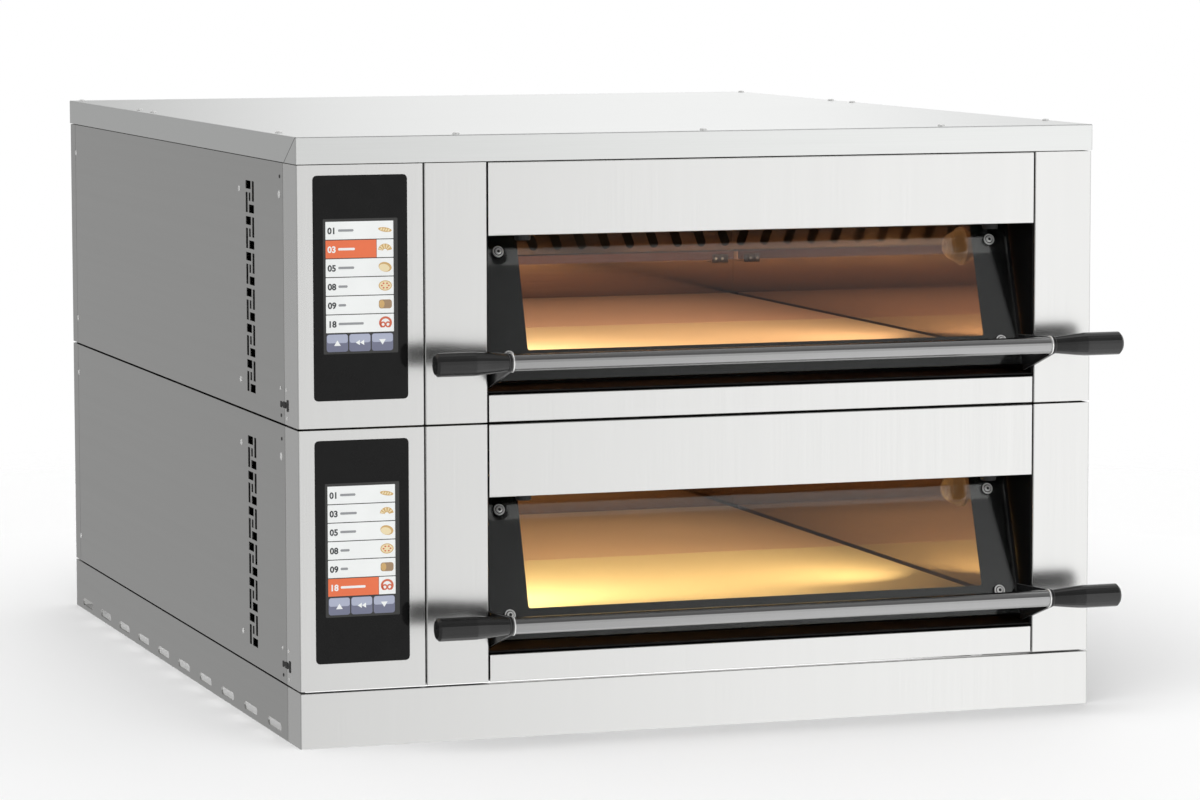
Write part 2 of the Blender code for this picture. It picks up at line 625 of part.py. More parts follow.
def make_chamber(deck, frame):
    """Mouth, heated chamber, stone floor, elements, lamp and insulation."""
    cheek = SHEET
    mouth = folded(deck + "_mouth_frame",
                   [(OPENING[0] - cheek, MOUTH_Z[0] - cheek), (OPENING[1] + cheek, MOUTH_Z[0] - cheek),
                    (OPENING[1] + cheek, MOUTH_Z[1] + cheek), (OPENING[0] - cheek, MOUTH_Z[1] + cheek)],
                   MOUTH_Y[0], MOUTH_Y[1], "Y", (0, 0, -1), cheek, ENAMEL, frame, closed=True)
    lip = blocks(deck + "_mouth_lip",
                 [((OPENING[0] - cheek / 2, MOUTH_Y[1] - cheek, MOUTH_Z[0] - cheek / 2),
                   (OPENING[1] + cheek / 2, MOUTH_Y[1], LIP_TOP), {})], None, frame)
    boolean(mouth, lip, "UNION")
    reach = PIN_END + CUT
    boolean(mouth, cylinder(deck + "_pin_holes", (centred(-reach), HINGE_Y, HINGE_Z),
                            (centred(reach), HINGE_Y, HINGE_Z), PIN_RADIUS + PIN_CLEAR, frame))
    out, inner = CHAMBER_HALF + THIN_SHEET, CHAMBER_HALF - LEDGE_WIDTH + THIN_SHEET
    muffle = folded(deck + "_chamber_muffle",
                    [(centred(-inner), TROUGH_Z), (centred(inner), TROUGH_Z),
                     (centred(inner), LEDGE_Z - THIN_SHEET), (centred(out), LEDGE_Z - THIN_SHEET),
                     (centred(out), CHAMBER_TOP + THIN_SHEET), (centred(-out), CHAMBER_TOP + THIN_SHEET),
                     (centred(-out), LEDGE_Z - THIN_SHEET), (centred(-inner), LEDGE_Z - THIN_SHEET)],
                    CHAMBER_Y[0], CHAMBER_Y[1], "Y", (0, 0, -1), THIN_SHEET, CHAMBER_STEEL, frame,
                    closed=True)
    make_back_wall(deck, frame)
    half = CHAMBER_HALF - STONE_SIDE_GAP
    floor = LEDGE_Z + CLEAR
    for name, start, end in (
            ("front", CHAMBER_Y[0] + STONE_END_GAP, STONE_SPLIT_Y - STONE_JOINT),
            ("rear", STONE_SPLIT_Y + STONE_JOINT, BACK_WALL_Y - STONE_END_GAP)):
        box(deck + "_hearth_stone_" + name, (centred(-half), start, floor),
            (centred(half), end, floor + STONE_THICK), STONE, frame)
    wool_half = out + CLEAR
    wool = tray(deck + "_insulation",
                (centred(-wool_half - WOOL), CHAMBER_Y[0], LEDGE_Z),
                (centred(wool_half + WOOL), CHAMBER_Y[1] + WOOL_REAR_GAP + WOOL, WOOL_TOP),
                [(0, -1, 0), (0, 0, -1)], WOOL, WOOL_MAT, frame)
    make_lamp(deck, frame, muffle, wool)
    rear = CHAMBER_Y[1] + WOOL_REAR_GAP / 2
    make_element(deck + "_top_element", frame, top_element_height(), rear)
    trough = TROUGH_Z + THIN_SHEET
    make_element(deck + "_bottom_element", frame, (trough + LEDGE_Z) / 2, rear)


def make_buffers(deck, frame):
    """Rubber stops under the fascia, where the open door comes to rest."""
    profile = [(0.0, -CLEAR), (BUFFER_RADIUS, -CLEAR), (BUFFER_RADIUS, BUFFER_CHAMFER - BUFFER_DROP),
               (BUFFER_RADIUS - BUFFER_CHAMFER, -BUFFER_DROP), (0.0, -BUFFER_DROP)]
    for name, side in (("left", -1), ("right", 1)):
        turned(deck + "_buffer_" + name, profile, frame,
               (centred(side * BUFFER_X), BUFFER_Y, FASCIA_BOTTOM), (0.0, 0.0, 0.0), RUBBER, steps=16)


# ---------------------------------------------------------------- one deck's door
def make_bracket(name, hinge, side):
    """A tapered plate from the door's lower corner out to the handle's bar."""
    near, far = FRAME_HALF - ARM_THICK, FRAME_HALF
    back = GLASS_FACE + GLASS_THICK
    bm = bmesh.new()
    for x in (side * near, side * far):
        turn = Matrix.Translation((x, BAR_Y, BAR_Z)) @ Matrix.Rotation(math.radians(90), 4, "Y")
        bmesh.ops.create_circle(bm, segments=24, radius=BRACKET_NOSE, matrix=turn)
        for z in BRACKET_Z:
            bm.verts.new((x, back, z))
    bmesh.ops.convex_hull(bm, input=bm.verts)
    bmesh.ops.delete(bm, geom=[edge for edge in bm.edges if not edge.link_faces], context="EDGES")
    bmesh.ops.delete(bm, geom=[vert for vert in bm.verts if not vert.link_faces], context="VERTS")
    bmesh.ops.dissolve_limit(bm, angle_limit=math.radians(1), verts=bm.verts, edges=bm.edges)
    add(name, bm, ENAMEL, hinge)


def make_door_frame(deck, hinge):
    """The black ring behind the glass, with an arm and a pin at each top corner."""
    front = GLASS_FACE + GLASS_THICK + CLEAR
    ring = box(deck + "_door_frame", (-FRAME_HALF, front, PANE_BOTTOM),
               (FRAME_HALF, front + FRAME_THICK, PANE_TOP), ENAMEL, hinge)
    window = blocks(deck + "_window_hole",
                    [((-WINDOW_HALF, front - CUT, WINDOW_Z[0]),
                      (WINDOW_HALF, front + 2 * CUT, WINDOW_Z[1]), {})], None, hinge)
    boolean(ring, window)
    for name, side in (("left", -1), ("right", 1)):
        xs = sorted((side * (FRAME_HALF - ARM_THICK), side * FRAME_HALF))
        arm = blocks(deck + "_arm_" + name,
                     [((xs[0], *ARM_LOW), (xs[1], front + FRAME_THICK / 2, PANE_TOP - SUNK),
                       {"corner": ARM_CORNER, "along": "X"})], None, hinge)
        boolean(ring, arm, "UNION")
        pin = cylinder(deck + "_pin_" + name, (side * (FRAME_HALF - ARM_THICK / 2), 0, 0),
                       (side * PIN_END, 0, 0), PIN_RADIUS, hinge)
        boolean(ring, pin, "UNION")


def make_handle(deck, hinge):
    """A steel tube between the brackets, and a grip on each end."""
    end = FRAME_HALF - ARM_THICK - CLEAR
    bore = BAR_RADIUS - BAR_WALL
    turned(deck + "_handle_tube", [(BAR_RADIUS, end), (BAR_RADIUS, -end), (bore, -end), (bore, end)],
           hinge, (0, BAR_Y, BAR_Z), ALONG_X, TUBE_STEEL, ring=True)
    start = FRAME_HALF + CLEAR
    profile = [(0.0, GRIP_END), (GRIP_RADIUS - GRIP_ROUND, GRIP_END),
               (GRIP_RADIUS, GRIP_END - GRIP_ROUND), (GRIP_RADIUS, start + GRIP_FULL),
               (GRIP_SHOULDER[1], start + GRIP_SHOULDER[0]), (GRIP_NECK, start), (0.0, start)]
    for name, turn in (("left", AGAINST_X), ("right", ALONG_X)):
        turned(deck + "_grip_" + name, profile, hinge, (0, BAR_Y, BAR_Z), turn, GRIP_PLASTIC)


def make_door(deck, frame):
    """The leaning glass door, on an empty that lies on its hinge."""
    hinge = empty(deck + "_door_hinge", frame, (DOOR_X, HINGE_Y, HINGE_Z), (-TILT, 0.0, 0.0))
    box(deck + "_door_glass", (-GLASS_HALF, GLASS_FACE, PANE_BOTTOM),
        (GLASS_HALF, GLASS_FACE + GLASS_THICK, PANE_TOP), DOOR_GLASS, hinge)
    make_door_frame(deck, hinge)
    make_bracket(deck + "_bracket_left", hinge, -1)
    make_bracket(deck + "_bracket_right", hinge, 1)
    make_handle(deck, hinge)


# ---------------------------------------------------------------- the whole oven
def make_oven():
    """Plinth, two decks and the cover."""
    root = empty("oven_frame", None, -ORIGIN)
    make_plinth(root)
    make_cover(root)
    for deck, bottom in DECK_BOTTOMS.items():
        frame = empty(deck + "_deck", root, (0, 0, bottom))
        make_front(deck, frame)
        make_control(deck, frame)
        make_sides(deck, frame)
        make_chamber(deck, frame)
        make_buffers(deck, frame)
        make_door(deck, frame)


make_oven()
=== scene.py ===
import json
import math

import bmesh
import bpy
from mathutils import Matrix, Vector


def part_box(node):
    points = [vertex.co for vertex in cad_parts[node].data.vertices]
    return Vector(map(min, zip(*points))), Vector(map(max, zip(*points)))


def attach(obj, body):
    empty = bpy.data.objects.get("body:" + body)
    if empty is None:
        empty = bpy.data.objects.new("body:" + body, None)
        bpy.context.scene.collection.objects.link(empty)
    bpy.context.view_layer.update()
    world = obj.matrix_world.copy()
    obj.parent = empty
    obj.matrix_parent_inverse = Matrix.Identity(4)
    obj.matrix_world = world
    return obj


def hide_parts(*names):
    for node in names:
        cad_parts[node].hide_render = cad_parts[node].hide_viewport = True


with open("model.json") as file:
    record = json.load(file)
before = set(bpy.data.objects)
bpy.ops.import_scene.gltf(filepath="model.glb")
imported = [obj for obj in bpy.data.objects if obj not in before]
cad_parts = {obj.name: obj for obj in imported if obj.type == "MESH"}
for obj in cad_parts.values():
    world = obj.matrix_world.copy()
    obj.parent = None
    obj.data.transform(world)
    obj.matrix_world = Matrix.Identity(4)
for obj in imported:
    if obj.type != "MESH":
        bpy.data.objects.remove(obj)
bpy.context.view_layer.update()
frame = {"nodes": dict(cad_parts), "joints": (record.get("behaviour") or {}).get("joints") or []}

# ---------------------------------------------------------------- places
DECKS = ("lower", "upper")
OVERHANG = 0.001                                   # of the cover, past the cabinet
COVER_LOW, COVER_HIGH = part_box("top_cover")
COVER_HEAD = (0.0043, 0.0024)                      # radius and height of its screw heads
HAIR = 0.00001                                     # keeps the shown heads inside the CAD's box
COVER_TOP = COVER_HIGH.z - COVER_HEAD[1] - HAIR
LEFT = COVER_LOW.x + OVERHANG                      # the cabinet's left side
FRONT = COVER_LOW.y + OVERHANG                     # its front face
WIDTH = COVER_HIGH.x - COVER_LOW.x - 2 * OVERHANG
DEPTH = COVER_HIGH.y - COVER_LOW.y - 2 * OVERHANG
DECK_BOTTOM = {deck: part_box(deck + "_control_fascia")[0].z for deck in DECKS}
HINGE = {joint["name"].split("_")[0]: Vector(joint["pos_m"]) for joint in frame["joints"]}
TILT = math.radians(18.8)                          # of the closed door, top edge back


def at(x, y, z):
    """A point of the cabinet: from its left side, its front face and the table."""
    return Vector((LEFT + x, FRONT + y, z))


def door_matrix(deck):
    """From the door's own axes, with the glass upright and the origin on the hinge."""
    return Matrix.Translation(HINGE[deck]) @ Matrix.Rotation(-TILT, 4, "X")


# ---------------------------------------------------------------- materials
def look(name, colour, roughness, metallic=0.0, values=None):
    """A node material round one Principled shader."""
    mat = bpy.data.materials.new(name)
    mat.use_nodes = True
    shader = mat.node_tree.nodes["Principled BSDF"]
    shader.inputs["Base Color"].default_value = (*colour, 1.0)
    shader.inputs["Roughness"].default_value = roughness
    shader.inputs["Metallic"].default_value = metallic
    for socket, value in (values or {}).items():
        shader.inputs[socket].default_value = value
    return mat


def noise(mat, scale, detail=2.0, offset=0.0):
    """Noise in the row frame, so many cells to the metre along X, Y and Z."""
    nodes, links = mat.node_tree.nodes, mat.node_tree.links
    place = nodes.new("ShaderNodeTexCoord")
    mapping = nodes.new("ShaderNodeMapping")
    mapping.inputs["Location"].default_value = (offset, offset, offset)
    mapping.inputs["Scale"].default_value = scale
    texture = nodes.new("ShaderNodeTexNoise")
    texture.inputs["Scale"].default_value = 1.0
    texture.inputs["Detail"].default_value = detail
    links.new(place.outputs["Object"], mapping.inputs["Vector"])
    links.new(mapping.outputs["Vector"], texture.inputs["Vector"])
    return texture.outputs["Fac"]


def spread(mat, factor, low, high, start=0.3, end=0.7):
    """The factor stretched to run from low to high."""
    node = mat.node_tree.nodes.new("ShaderNodeMapRange")
    node.inputs["From Min"].default_value = start
    node.inputs["From Max"].default_value = end
    node.inputs["To Min"].default_value = low
    node.inputs["To Max"].default_value = high
    mat.node_tree.links.new(factor, node.inputs["Value"])
    return node.outputs["Result"]


def feed(mat, output, socket):
    """Links the output of a node to a socket of the shader."""
    shader = mat.node_tree.nodes["Principled BSDF"]
    mat.node_tree.links.new(output, shader.inputs[socket])


def mix(mat, factor, first, second):
    """A colour between two, each a colour or the output of a node."""
    node = mat.node_tree.nodes.new("ShaderNodeMix")
    node.data_type = "RGBA"
    mat.node_tree.links.new(factor, node.inputs[0])
    for socket, value in ((node.inputs[6], first), (node.inputs[7], second)):
        if isinstance(value, tuple):
            socket.default_value = (*value, 1.0)
        else:
            mat.node_tree.links.new(value, socket)
    return node.outputs[2]


def bump(mat, factor, distance, strength=1.0):
    """Adds relief of so many metres to what the shader has already."""
    shader = mat.node_tree.nodes["Principled BSDF"]
    node = mat.node_tree.nodes.new("ShaderNodeBump")
    node.inputs["Distance"].default_value = distance
    node.inputs["Strength"].default_value = strength
    mat.node_tree.links.new(factor, node.inputs["Height"])
    if shader.inputs["Normal"].is_linked:
        mat.node_tree.links.new(shader.inputs["Normal"].links[0].from_socket, node.inputs["Normal"])
    mat.node_tree.links.new(node.outputs["Normal"], shader.inputs["Normal"])


QUARTER_TURN = 0.25                                # a sheen lies across the grain
OFF_AXIS = 0.03                                    # keeps the grain's direction off a face's normal
BROAD = 14                                         # how much wider the broad streaks are
CLOUDS = (2.5, 2.5, 2.5)                           # cells to the metre, where streaks come and go
GRAIN_RELIEF = 0.00001
STEEL_SHEEN = (0.97, 1.04)                         # shares of the roughness, along the streaks


def brushed(name, colour, roughness, grain, anisotropic=0.4, contrast=0.025):
    """Stainless steel with a grain along one axis: grain is cells to the metre each way."""
    mat = look(name, colour, roughness, 1.0,
               {"Anisotropic": anisotropic, "Anisotropic Rotation": QUARTER_TURN})
    along = mat.node_tree.nodes.new("ShaderNodeCombineXYZ")
    for socket, cells in zip(along.inputs, grain):
        socket.default_value = 1.0 if cells == min(grain) else OFF_AXIS
    feed(mat, along.outputs["Vector"], "Tangent")
    fine = noise(mat, grain, 3.0)
    wide = noise(mat, tuple(value / BROAD for value in grain), 3.0, 5.0)
    cloud = noise(mat, CLOUDS, 2.0, 9.0)
    dark = tuple(value * (1 - contrast) for value in colour)
    light = tuple(min(1.0, value * (1 + contrast)) for value in colour)
    streak = mix(mat, spread(mat, fine, 0.0, 1.0), dark, light)
    broad = mix(mat, spread(mat, wide, 0.25, 0.75), dark, light)
    blend = mix(mat, spread(mat, cloud, 0.35, 0.65), streak, broad)
    feed(mat, blend, "Base Color")
    smooth, rough = (roughness * share for share in STEEL_SHEEN)
    feed(mat, spread(mat, wide, smooth, rough), "Roughness")
    bump(mat, fine, GRAIN_RELIEF, 0.25)
    return mat


SMUDGES = (6.0, 6.0, 6.0)                          # cells to the metre of wide soft patches
MOTTLE = (19.0, 19.0, 19.0)                        # and of where they take over from the specks
SPECK_SHEEN = (0.9, 1.1)                           # shares of the roughness, from speck to speck


def speckled(name, colour, roughness, metallic, scale, contrast, relief, values=None):
    """A material with fine even variation, such as cast, moulded or rolled stuff."""
    mat = look(name, colour, roughness, metallic, values)
    fine = noise(mat, (scale, scale, scale), 4.0)
    cloud = noise(mat, SMUDGES, 3.0, 3.0)
    dark = tuple(value * (1 - contrast) for value in colour)
    light = tuple(min(1.0, value * (1 + contrast)) for value in colour)
    first = mix(mat, spread(mat, fine, 0.0, 1.0), dark, light)
    second = mix(mat, spread(mat, cloud, 0.0, 1.0), dark, light)
    patch = noise(mat, MOTTLE, 1.0, 7.0)
    feed(mat, mix(mat, spread(mat, patch, 0.3, 0.7), first, second), "Base Color")
    smooth, rough = (min(1.0, roughness * share) for share in SPECK_SHEEN)
    feed(mat, spread(mat, fine, smooth, rough), "Roughness")
    bump(mat, fine, relief, 0.5)
    return mat


SEAM_SOFT = 0.4                                    # share of the line's half width that fades
SEAM_TONE = (0.10, 0.10, 0.10)


def seam(mat, start, end, half_width):
    """Darkens a thin line between two points of the left side, Y and Z of the row frame."""
    nodes, links = mat.node_tree.nodes, mat.node_tree.links
    place = nodes.new("ShaderNodeTexCoord")
    offset = nodes.new("ShaderNodeVectorMath")
    offset.operation = "SUBTRACT"
    offset.inputs[1].default_value = (0.0, *start)
    links.new(place.outputs["Object"], offset.inputs[0])
    run = Vector((0.0, end[0] - start[0], end[1] - start[1])).normalized()
    across = nodes.new("ShaderNodeVectorMath")
    across.operation = "DOT_PRODUCT"
    across.inputs[1].default_value = (0.0, -run.z, run.y)
    links.new(offset.outputs["Vector"], across.inputs[0])
    distance = nodes.new("ShaderNodeMath")
    distance.operation = "ABSOLUTE"
    links.new(across.outputs["Value"], distance.inputs[0])
    inner, outer = half_width * (1 - SEAM_SOFT), half_width * (1 + SEAM_SOFT)
    inside = spread(mat, distance.outputs["Value"], 1.0, 0.0, inner, outer)
    split = nodes.new("ShaderNodeSeparateXYZ")
    links.new(place.outputs["Object"], split.inputs["Vector"])
    left = spread(mat, split.outputs["X"], 1.0, 0.0, LEFT - OVERHANG / 2, LEFT)
    both = nodes.new("ShaderNodeMath")
    both.operation = "MULTIPLY"
    links.new(inside, both.inputs[0])
    links.new(left, both.inputs[1])
    base = nodes["Principled BSDF"].inputs["Base Color"].links[0].from_socket
    feed(mat, mix(mat, both.outputs["Value"], base, SEAM_TONE), "Base Color")


FRONT_STEEL = brushed("front_steel", (0.74, 0.74, 0.73), 0.25, (1300.0, 1300.0, 9.0))
COVER_STEEL = brushed("cover_steel", (0.78, 0.79, 0.78), 0.32, (9.0, 1300.0, 1300.0))
SIDE_STEEL = brushed("side_steel", (0.52, 0.52, 0.51), 0.34, (1300.0, 6.0, 1300.0), 0.3, 0.02)
TUBE_STEEL = brushed("tube_steel", (0.34, 0.34, 0.34), 0.20, (2500.0, 30.0, 30.0), 0.2, 0.01)
CHAMBER_STEEL = brushed("chamber_steel", (0.52, 0.44, 0.40), 0.05, (9.0, 9.0, 500.0), 0.2, 0.05)
BACK_STEEL = brushed("chamber_back_steel", (0.40, 0.31, 0.27), 0.09, (9.0, 9.0, 500.0), 0.2, 0.10)
SCREW_STEEL = speckled("screw_steel", (0.90, 0.90, 0.89), 0.22, 0.5, 900.0, 0.05, 0.00002)
MOUTH = speckled("mouth_enamel", (0.004, 0.004, 0.004), 0.40, 0.0, 700.0, 0.3, 0.00003,
                 {"Specular IOR Level": 0.15})
ENAMEL = speckled("black_enamel", (0.010, 0.010, 0.0105), 0.24, 0.0, 700.0, 0.3, 0.00003)
# the brackets' bevelled edges: a lighter grey, a painted highlight
EDGE_HIGHLIGHT_PAINT = speckled("enamel_edge_painted_highlight", (0.10, 0.10, 0.10), 0.30, 0.4, 700.0, 0.3, 0.00003)
PRINT = speckled("black_print", (0.012, 0.012, 0.012), 0.18, 0.0, 900.0, 0.2, 0.000005)
TOUCH = speckled("touch_glass", (0.006, 0.006, 0.006), 0.07, 0.0, 60.0, 0.2, 0.000002,
                 {"Specular IOR Level": 0.22})
GRIP = speckled("grip_plastic", (0.012, 0.012, 0.012), 0.17, 0.0, 350.0, 0.2, 0.00002)
HOUSING = speckled("housing_plastic", (0.05, 0.05, 0.05), 0.55, 0.0, 1600.0, 0.2, 0.0001)
RUBBER = speckled("rubber", (0.014, 0.014, 0.014), 0.62, 0.0, 900.0, 0.3, 0.0001)
STONE = speckled("refractory_stone", (0.64, 0.50, 0.32), 0.70, 0.0, 240.0, 0.06, 0.0002)
# the rear stone is darker and redder than the front one, so the floor's tone changes at the joint
REAR_STONE = speckled("refractory_stone_rear", (0.58, 0.38, 0.28), 0.70, 0.0, 240.0, 0.06, 0.0002)
RIB = speckled("tinted_rib", (0.17, 0.07, 0.05), 0.22, 0.3, 60.0, 0.10, 0.000002)
SHEATH = speckled("element_sheath", (0.15, 0.12, 0.10), 0.5, 0.7, 500.0, 0.4, 0.0001)
WOOL = speckled("mineral_wool", (0.55, 0.49, 0.34), 0.95, 0.0, 180.0, 0.35, 0.002)
LAMP = speckled("lamp_glass", (0.26, 0.18, 0.10), 0.12, 0.0, 40.0, 0.03, 0.0001,
                {"Transmission Weight": 0.6, "Emission Color": (1.0, 0.50, 0.20, 1.0),
                 "Emission Strength": 0.06})
GLASS = look("door_glass", (0.96, 0.98, 0.97), 0.0, 0.0, {"Transmission Weight": 1.0, "IOR": 1.46})
GLASS_HAZE = 0.012
feed(GLASS, spread(GLASS, noise(GLASS, (30.0, 30.0, 30.0)), 0.0, GLASS_HAZE), "Roughness")

MITRE_RUN = 0.052                                  # how far back the cover's mitre slants
MITRE_HALF = 0.0006
seam(COVER_STEEL, (FRONT - OVERHANG, COVER_TOP), (FRONT + MITRE_RUN, COVER_LOW.z), MITRE_HALF)


UNLIT = 0.4                                        # brightness of the display's ink by itself
BACKLIGHT = (25.0, 25.0, 25.0)                     # cells to the metre of its unevenness
BACKLIGHT_SHARES = (0.96, 1.04)                    # of the strength that it runs between


def lit(name, colour, strength):
    """A glowing colour of the display, a little uneven as a backlight is."""
    ink = tuple(value * UNLIT for value in colour)
    mat = look(name, ink, 0.12, 0.0, {"Emission Color": (*colour, 1.0)})
    even = noise(mat, BACKLIGHT, 1.0)
    dim, bright = (strength * share for share in BACKLIGHT_SHARES)
    feed(mat, spread(mat, even, dim, bright), "Emission Strength")
    return mat


CELL = lit("display_white", (0.93, 0.95, 0.94), 0.55)
ORANGE = lit("display_orange", (0.80, 0.17, 0.065), 0.62)
DARK_GREY = lit("display_dark", (0.035, 0.035, 0.034), 0.5)
INK = lit("display_ink", (0.05, 0.055, 0.06), 0.4)
WORD = lit("display_word", (0.30, 0.31, 0.32), 0.6)
BUTTON_TOP = lit("display_button_top", (0.42, 0.45, 0.57), 0.6)
BUTTON_LOW = lit("display_button_low", (0.17, 0.18, 0.26), 0.6)
CRUST = lit("display_crust", (0.62, 0.40, 0.16), 0.6)
CRUMB = lit("display_crumb", (0.85, 0.72, 0.45), 0.6)
BROWN = lit("display_brown", (0.36, 0.24, 0.14), 0.6)
RED = lit("display_red", (0.62, 0.14, 0.07), 0.6)
DISPLAY = [DARK_GREY, CELL, ORANGE, INK, WORD, BUTTON_TOP, BUTTON_LOW, CRUST, CRUMB, BROWN, RED]
(IN_GREY, IN_WHITE, IN_ORANGE, IN_INK, IN_WORD, IN_BUTTON_TOP, IN_BUTTON_LOW, IN_CRUST, IN_CRUMB,
 IN_BROWN, IN_RED) = range(len(DISPLAY))

NODE_LOOKS = {
    "base_front": FRONT_STEEL, "base_frame": SIDE_STEEL, "top_cover": COVER_STEEL,
    "cable_gland": HOUSING, "control_fascia": FRONT_STEEL, "left_post": FRONT_STEEL,
    "right_post": FRONT_STEEL, "upper_fascia": FRONT_STEEL, "lower_rail": FRONT_STEEL,
    "touch_panel": TOUCH, "control_module": HOUSING, "left_side": SIDE_STEEL,
    "right_side": SIDE_STEEL, "rear_panel": SIDE_STEEL, "mouth_frame": MOUTH,
    "chamber_muffle": CHAMBER_STEEL, "chamber_back": BACK_STEEL,
    "hearth_stone_front": STONE, "hearth_stone_rear": REAR_STONE, "insulation": WOOL,
    "chamber_lamp": LAMP, "top_element": SHEATH, "bottom_element": SHEATH,
    "buffer_left": RUBBER, "buffer_right": RUBBER, "door_glass": GLASS,
    "door_frame": ENAMEL, "bracket_left": ENAMEL, "bracket_right": ENAMEL,
    "handle_tube": TUBE_STEEL, "grip_left": GRIP, "grip_right": GRIP,
}
for node, obj in frame["nodes"].items():
    key = node
    for deck in DECKS:
        if node.startswith(deck + "_"):
            key = node[len(deck) + 1:]
    obj.data.materials.clear()
    obj.data.materials.append(NODE_LOOKS[key])


# ---------------------------------------------------------------- shapes
def piece(name, bm, mats, body, matrix=None, smooth=35.0):
    """Turns built geometry into a shown piece that rides on a body."""
    mesh = bpy.data.meshes.new(name)
    bmesh.ops.recalc_face_normals(bm, faces=bm.faces)
    if matrix is not None:
        bm.transform(matrix)
    bm.to_mesh(mesh)
    bm.free()
    mesh.shade_smooth()
    mesh.set_sharp_from_angle(angle=math.radians(smooth))
    for mat in mats:
        mesh.materials.append(mat)
    obj = bpy.data.objects.new(name, mesh)
    bpy.context.scene.collection.objects.link(obj)
    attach(obj, body)
    return obj


SAME_PLACE = 0.00005                               # points of a copied solid that close are one
FLAT = math.radians(1.0)


def bare_copy(node):
    """A node's solid with each flat face in one piece, all in the first material."""
    bm = bmesh.new()
    bm.from_mesh(node.data)
    bmesh.ops.remove_doubles(bm, verts=bm.verts, dist=SAME_PLACE)
    bmesh.ops.dissolve_limit(bm, angle_limit=FLAT, verts=bm.verts, edges=bm.edges)
    for face in bm.faces:
        face.material_index = 0
    return bm


def slab(bm, first, second, index=0):
    """A closed plate between two outlines with as many points."""
    near = [bm.verts.new(point) for point in first]
    far = [bm.verts.new(point) for point in second]
    faces = [bm.faces.new(near), bm.faces.new(far[::-1])]
    for i, vert in enumerate(near):
        j = (i + 1) % len(near)
        faces.append(bm.faces.new((vert, far[i], far[j], near[j])))
    for face in faces:
        face.material_index = index


def prism(bm, outline, y, thick, index=0):
    """A plate from its outline in X and Z: its front at y, and thick further back."""
    slab(bm, [(x, y, z) for x, z in outline], [(x, y + thick, z) for x, z in outline], index)


def rounded(x0, z0, x1, z1, radius, steps=4):
    """The outline of a rectangle with round corners."""
    points = []
    for cx, cz, start in ((x1 - radius, z1 - radius, 0), (x0 + radius, z1 - radius, 90),
                          (x0 + radius, z0 + radius, 180), (x1 - radius, z0 + radius, 270)):
        for step in range(steps + 1):
            angle = math.radians(start + 90 * step / steps)
            points.append((cx + radius * math.cos(angle), cz + radius * math.sin(angle)))
    return points


def oval(cx, cz, rx, rz, turn=0.0, steps=20):
    """The outline of an ellipse, turned by so many degrees."""
    points = []
    for step in range(steps):
        angle = 2 * math.pi * step / steps
        x, z = rx * math.cos(angle), rz * math.sin(angle)
        c, s = math.cos(math.radians(turn)), math.sin(math.radians(turn))
        points.append((cx + x * c - z * s, cz + x * s + z * c))
    return points


def arc_band(cx, cz, inner, outer, start, end, steps=12, squash=1.0):
    """The outline of a bent band between two angles."""
    angles = [math.radians(start + (end - start) * i / steps) for i in range(steps + 1)]
    out = [(cx + outer * math.cos(a), cz + outer * squash * math.sin(a)) for a in angles]
    back = [(cx + inner * math.cos(a), cz + inner * squash * math.sin(a)) for a in angles]
    return out + back[::-1]


def turned(bm, rings, origin, axis, sides=24, index=0, hexes=()):
    """A turned shape on a point: rings of (radius, height along the axis), closed on top.

    The rings whose numbers are in hexes are hexagons instead of circles.
    """
    turn = Vector((0, 0, 1)).rotation_difference(Vector(axis)).to_matrix()
    loops = []
    for number, (radius, height) in enumerate(rings):
        loop = []
        for side in range(sides):
            angle = 2 * math.pi * side / sides
            r = radius
            if number in hexes:
                r /= math.cos((angle + math.pi / 6) % (math.pi / 3) - math.pi / 6)
            local = Vector((r * math.cos(angle), r * math.sin(angle), height))
            loop.append(bm.verts.new(Vector(origin) + turn @ local))
        loops.append(loop)
    faces = [bm.faces.new(loops[0][::-1]), bm.faces.new(loops[-1])]
    for first, second in zip(loops, loops[1:]):
        for i in range(sides):
            j = (i + 1) % sides
            faces.append(bm.faces.new((first[i], first[j], second[j], second[i])))
    for face in faces:
        face.material_index = index


DOME = ((1.02, 0.0), (1.02, 0.2), (0.96, 0.55), (0.80, 0.88), (0.62, 1.0), (0.36, 1.0), (0.34, 0.98))


def dome_screw(bm, origin, axis, radius, height):
    """A low round head with a hexagonal dimple in it."""
    rings = [(radius * across, height * up) for across, up in DOME]
    turned(bm, rings, origin, axis, hexes=(len(DOME) - 1,))


# ---------------------------------------------------------------- display
SCREEN = (0.0313, 0.1208, 0.086, 0.2427)           # X and height above the deck's bottom
LIST_X = (0.0344, 0.1157)
LIST_TOP = 0.2395
ROW_PITCH = 0.02165
ROW_HEIGHT = 0.0206
ICON_X = 0.0953
ICON_MIDDLE = 0.1056
BUTTON_Z = (0.0886, 0.1090)
GAP = 0.0004                                       # between the cells, and round a key's light half
DIGIT_HEIGHT = 0.0074
DIGIT_INSET = 0.0022
WORD_INSET = 0.0150
WORD_HALF = 0.0014                                 # half the height of a word's bar
WORD_CORNER = 0.0012
SCREEN_CORNER = 0.0012
KEY_CORNER = 0.0030
KEY_GAP = 0.0010                                   # to the right of a key
ARROW = (0.0040, 0.0032)                           # half the width and height of an arrow
BACK_ARROW = (0.0050, 0.0030)                      # length and half the height of the pair
BACK_SHIFTS = (-0.0052, 0.0)
PROGRAMS = ("01", "03", "05", "08", "09", "18")
WORD_LENGTHS = (0.0185, 0.0200, 0.0190, 0.0110, 0.0090, 0.0300)
CHOSEN = {"upper": 1, "lower": 5}
LAYER = 0.00012                                    # thickness of a printed or lit layer
DIGIT_SIZE = 1.37                                  # of the letter's box for digits one high
DIGIT_WEIGHT = 0.045                               # how much bolder than the plain face


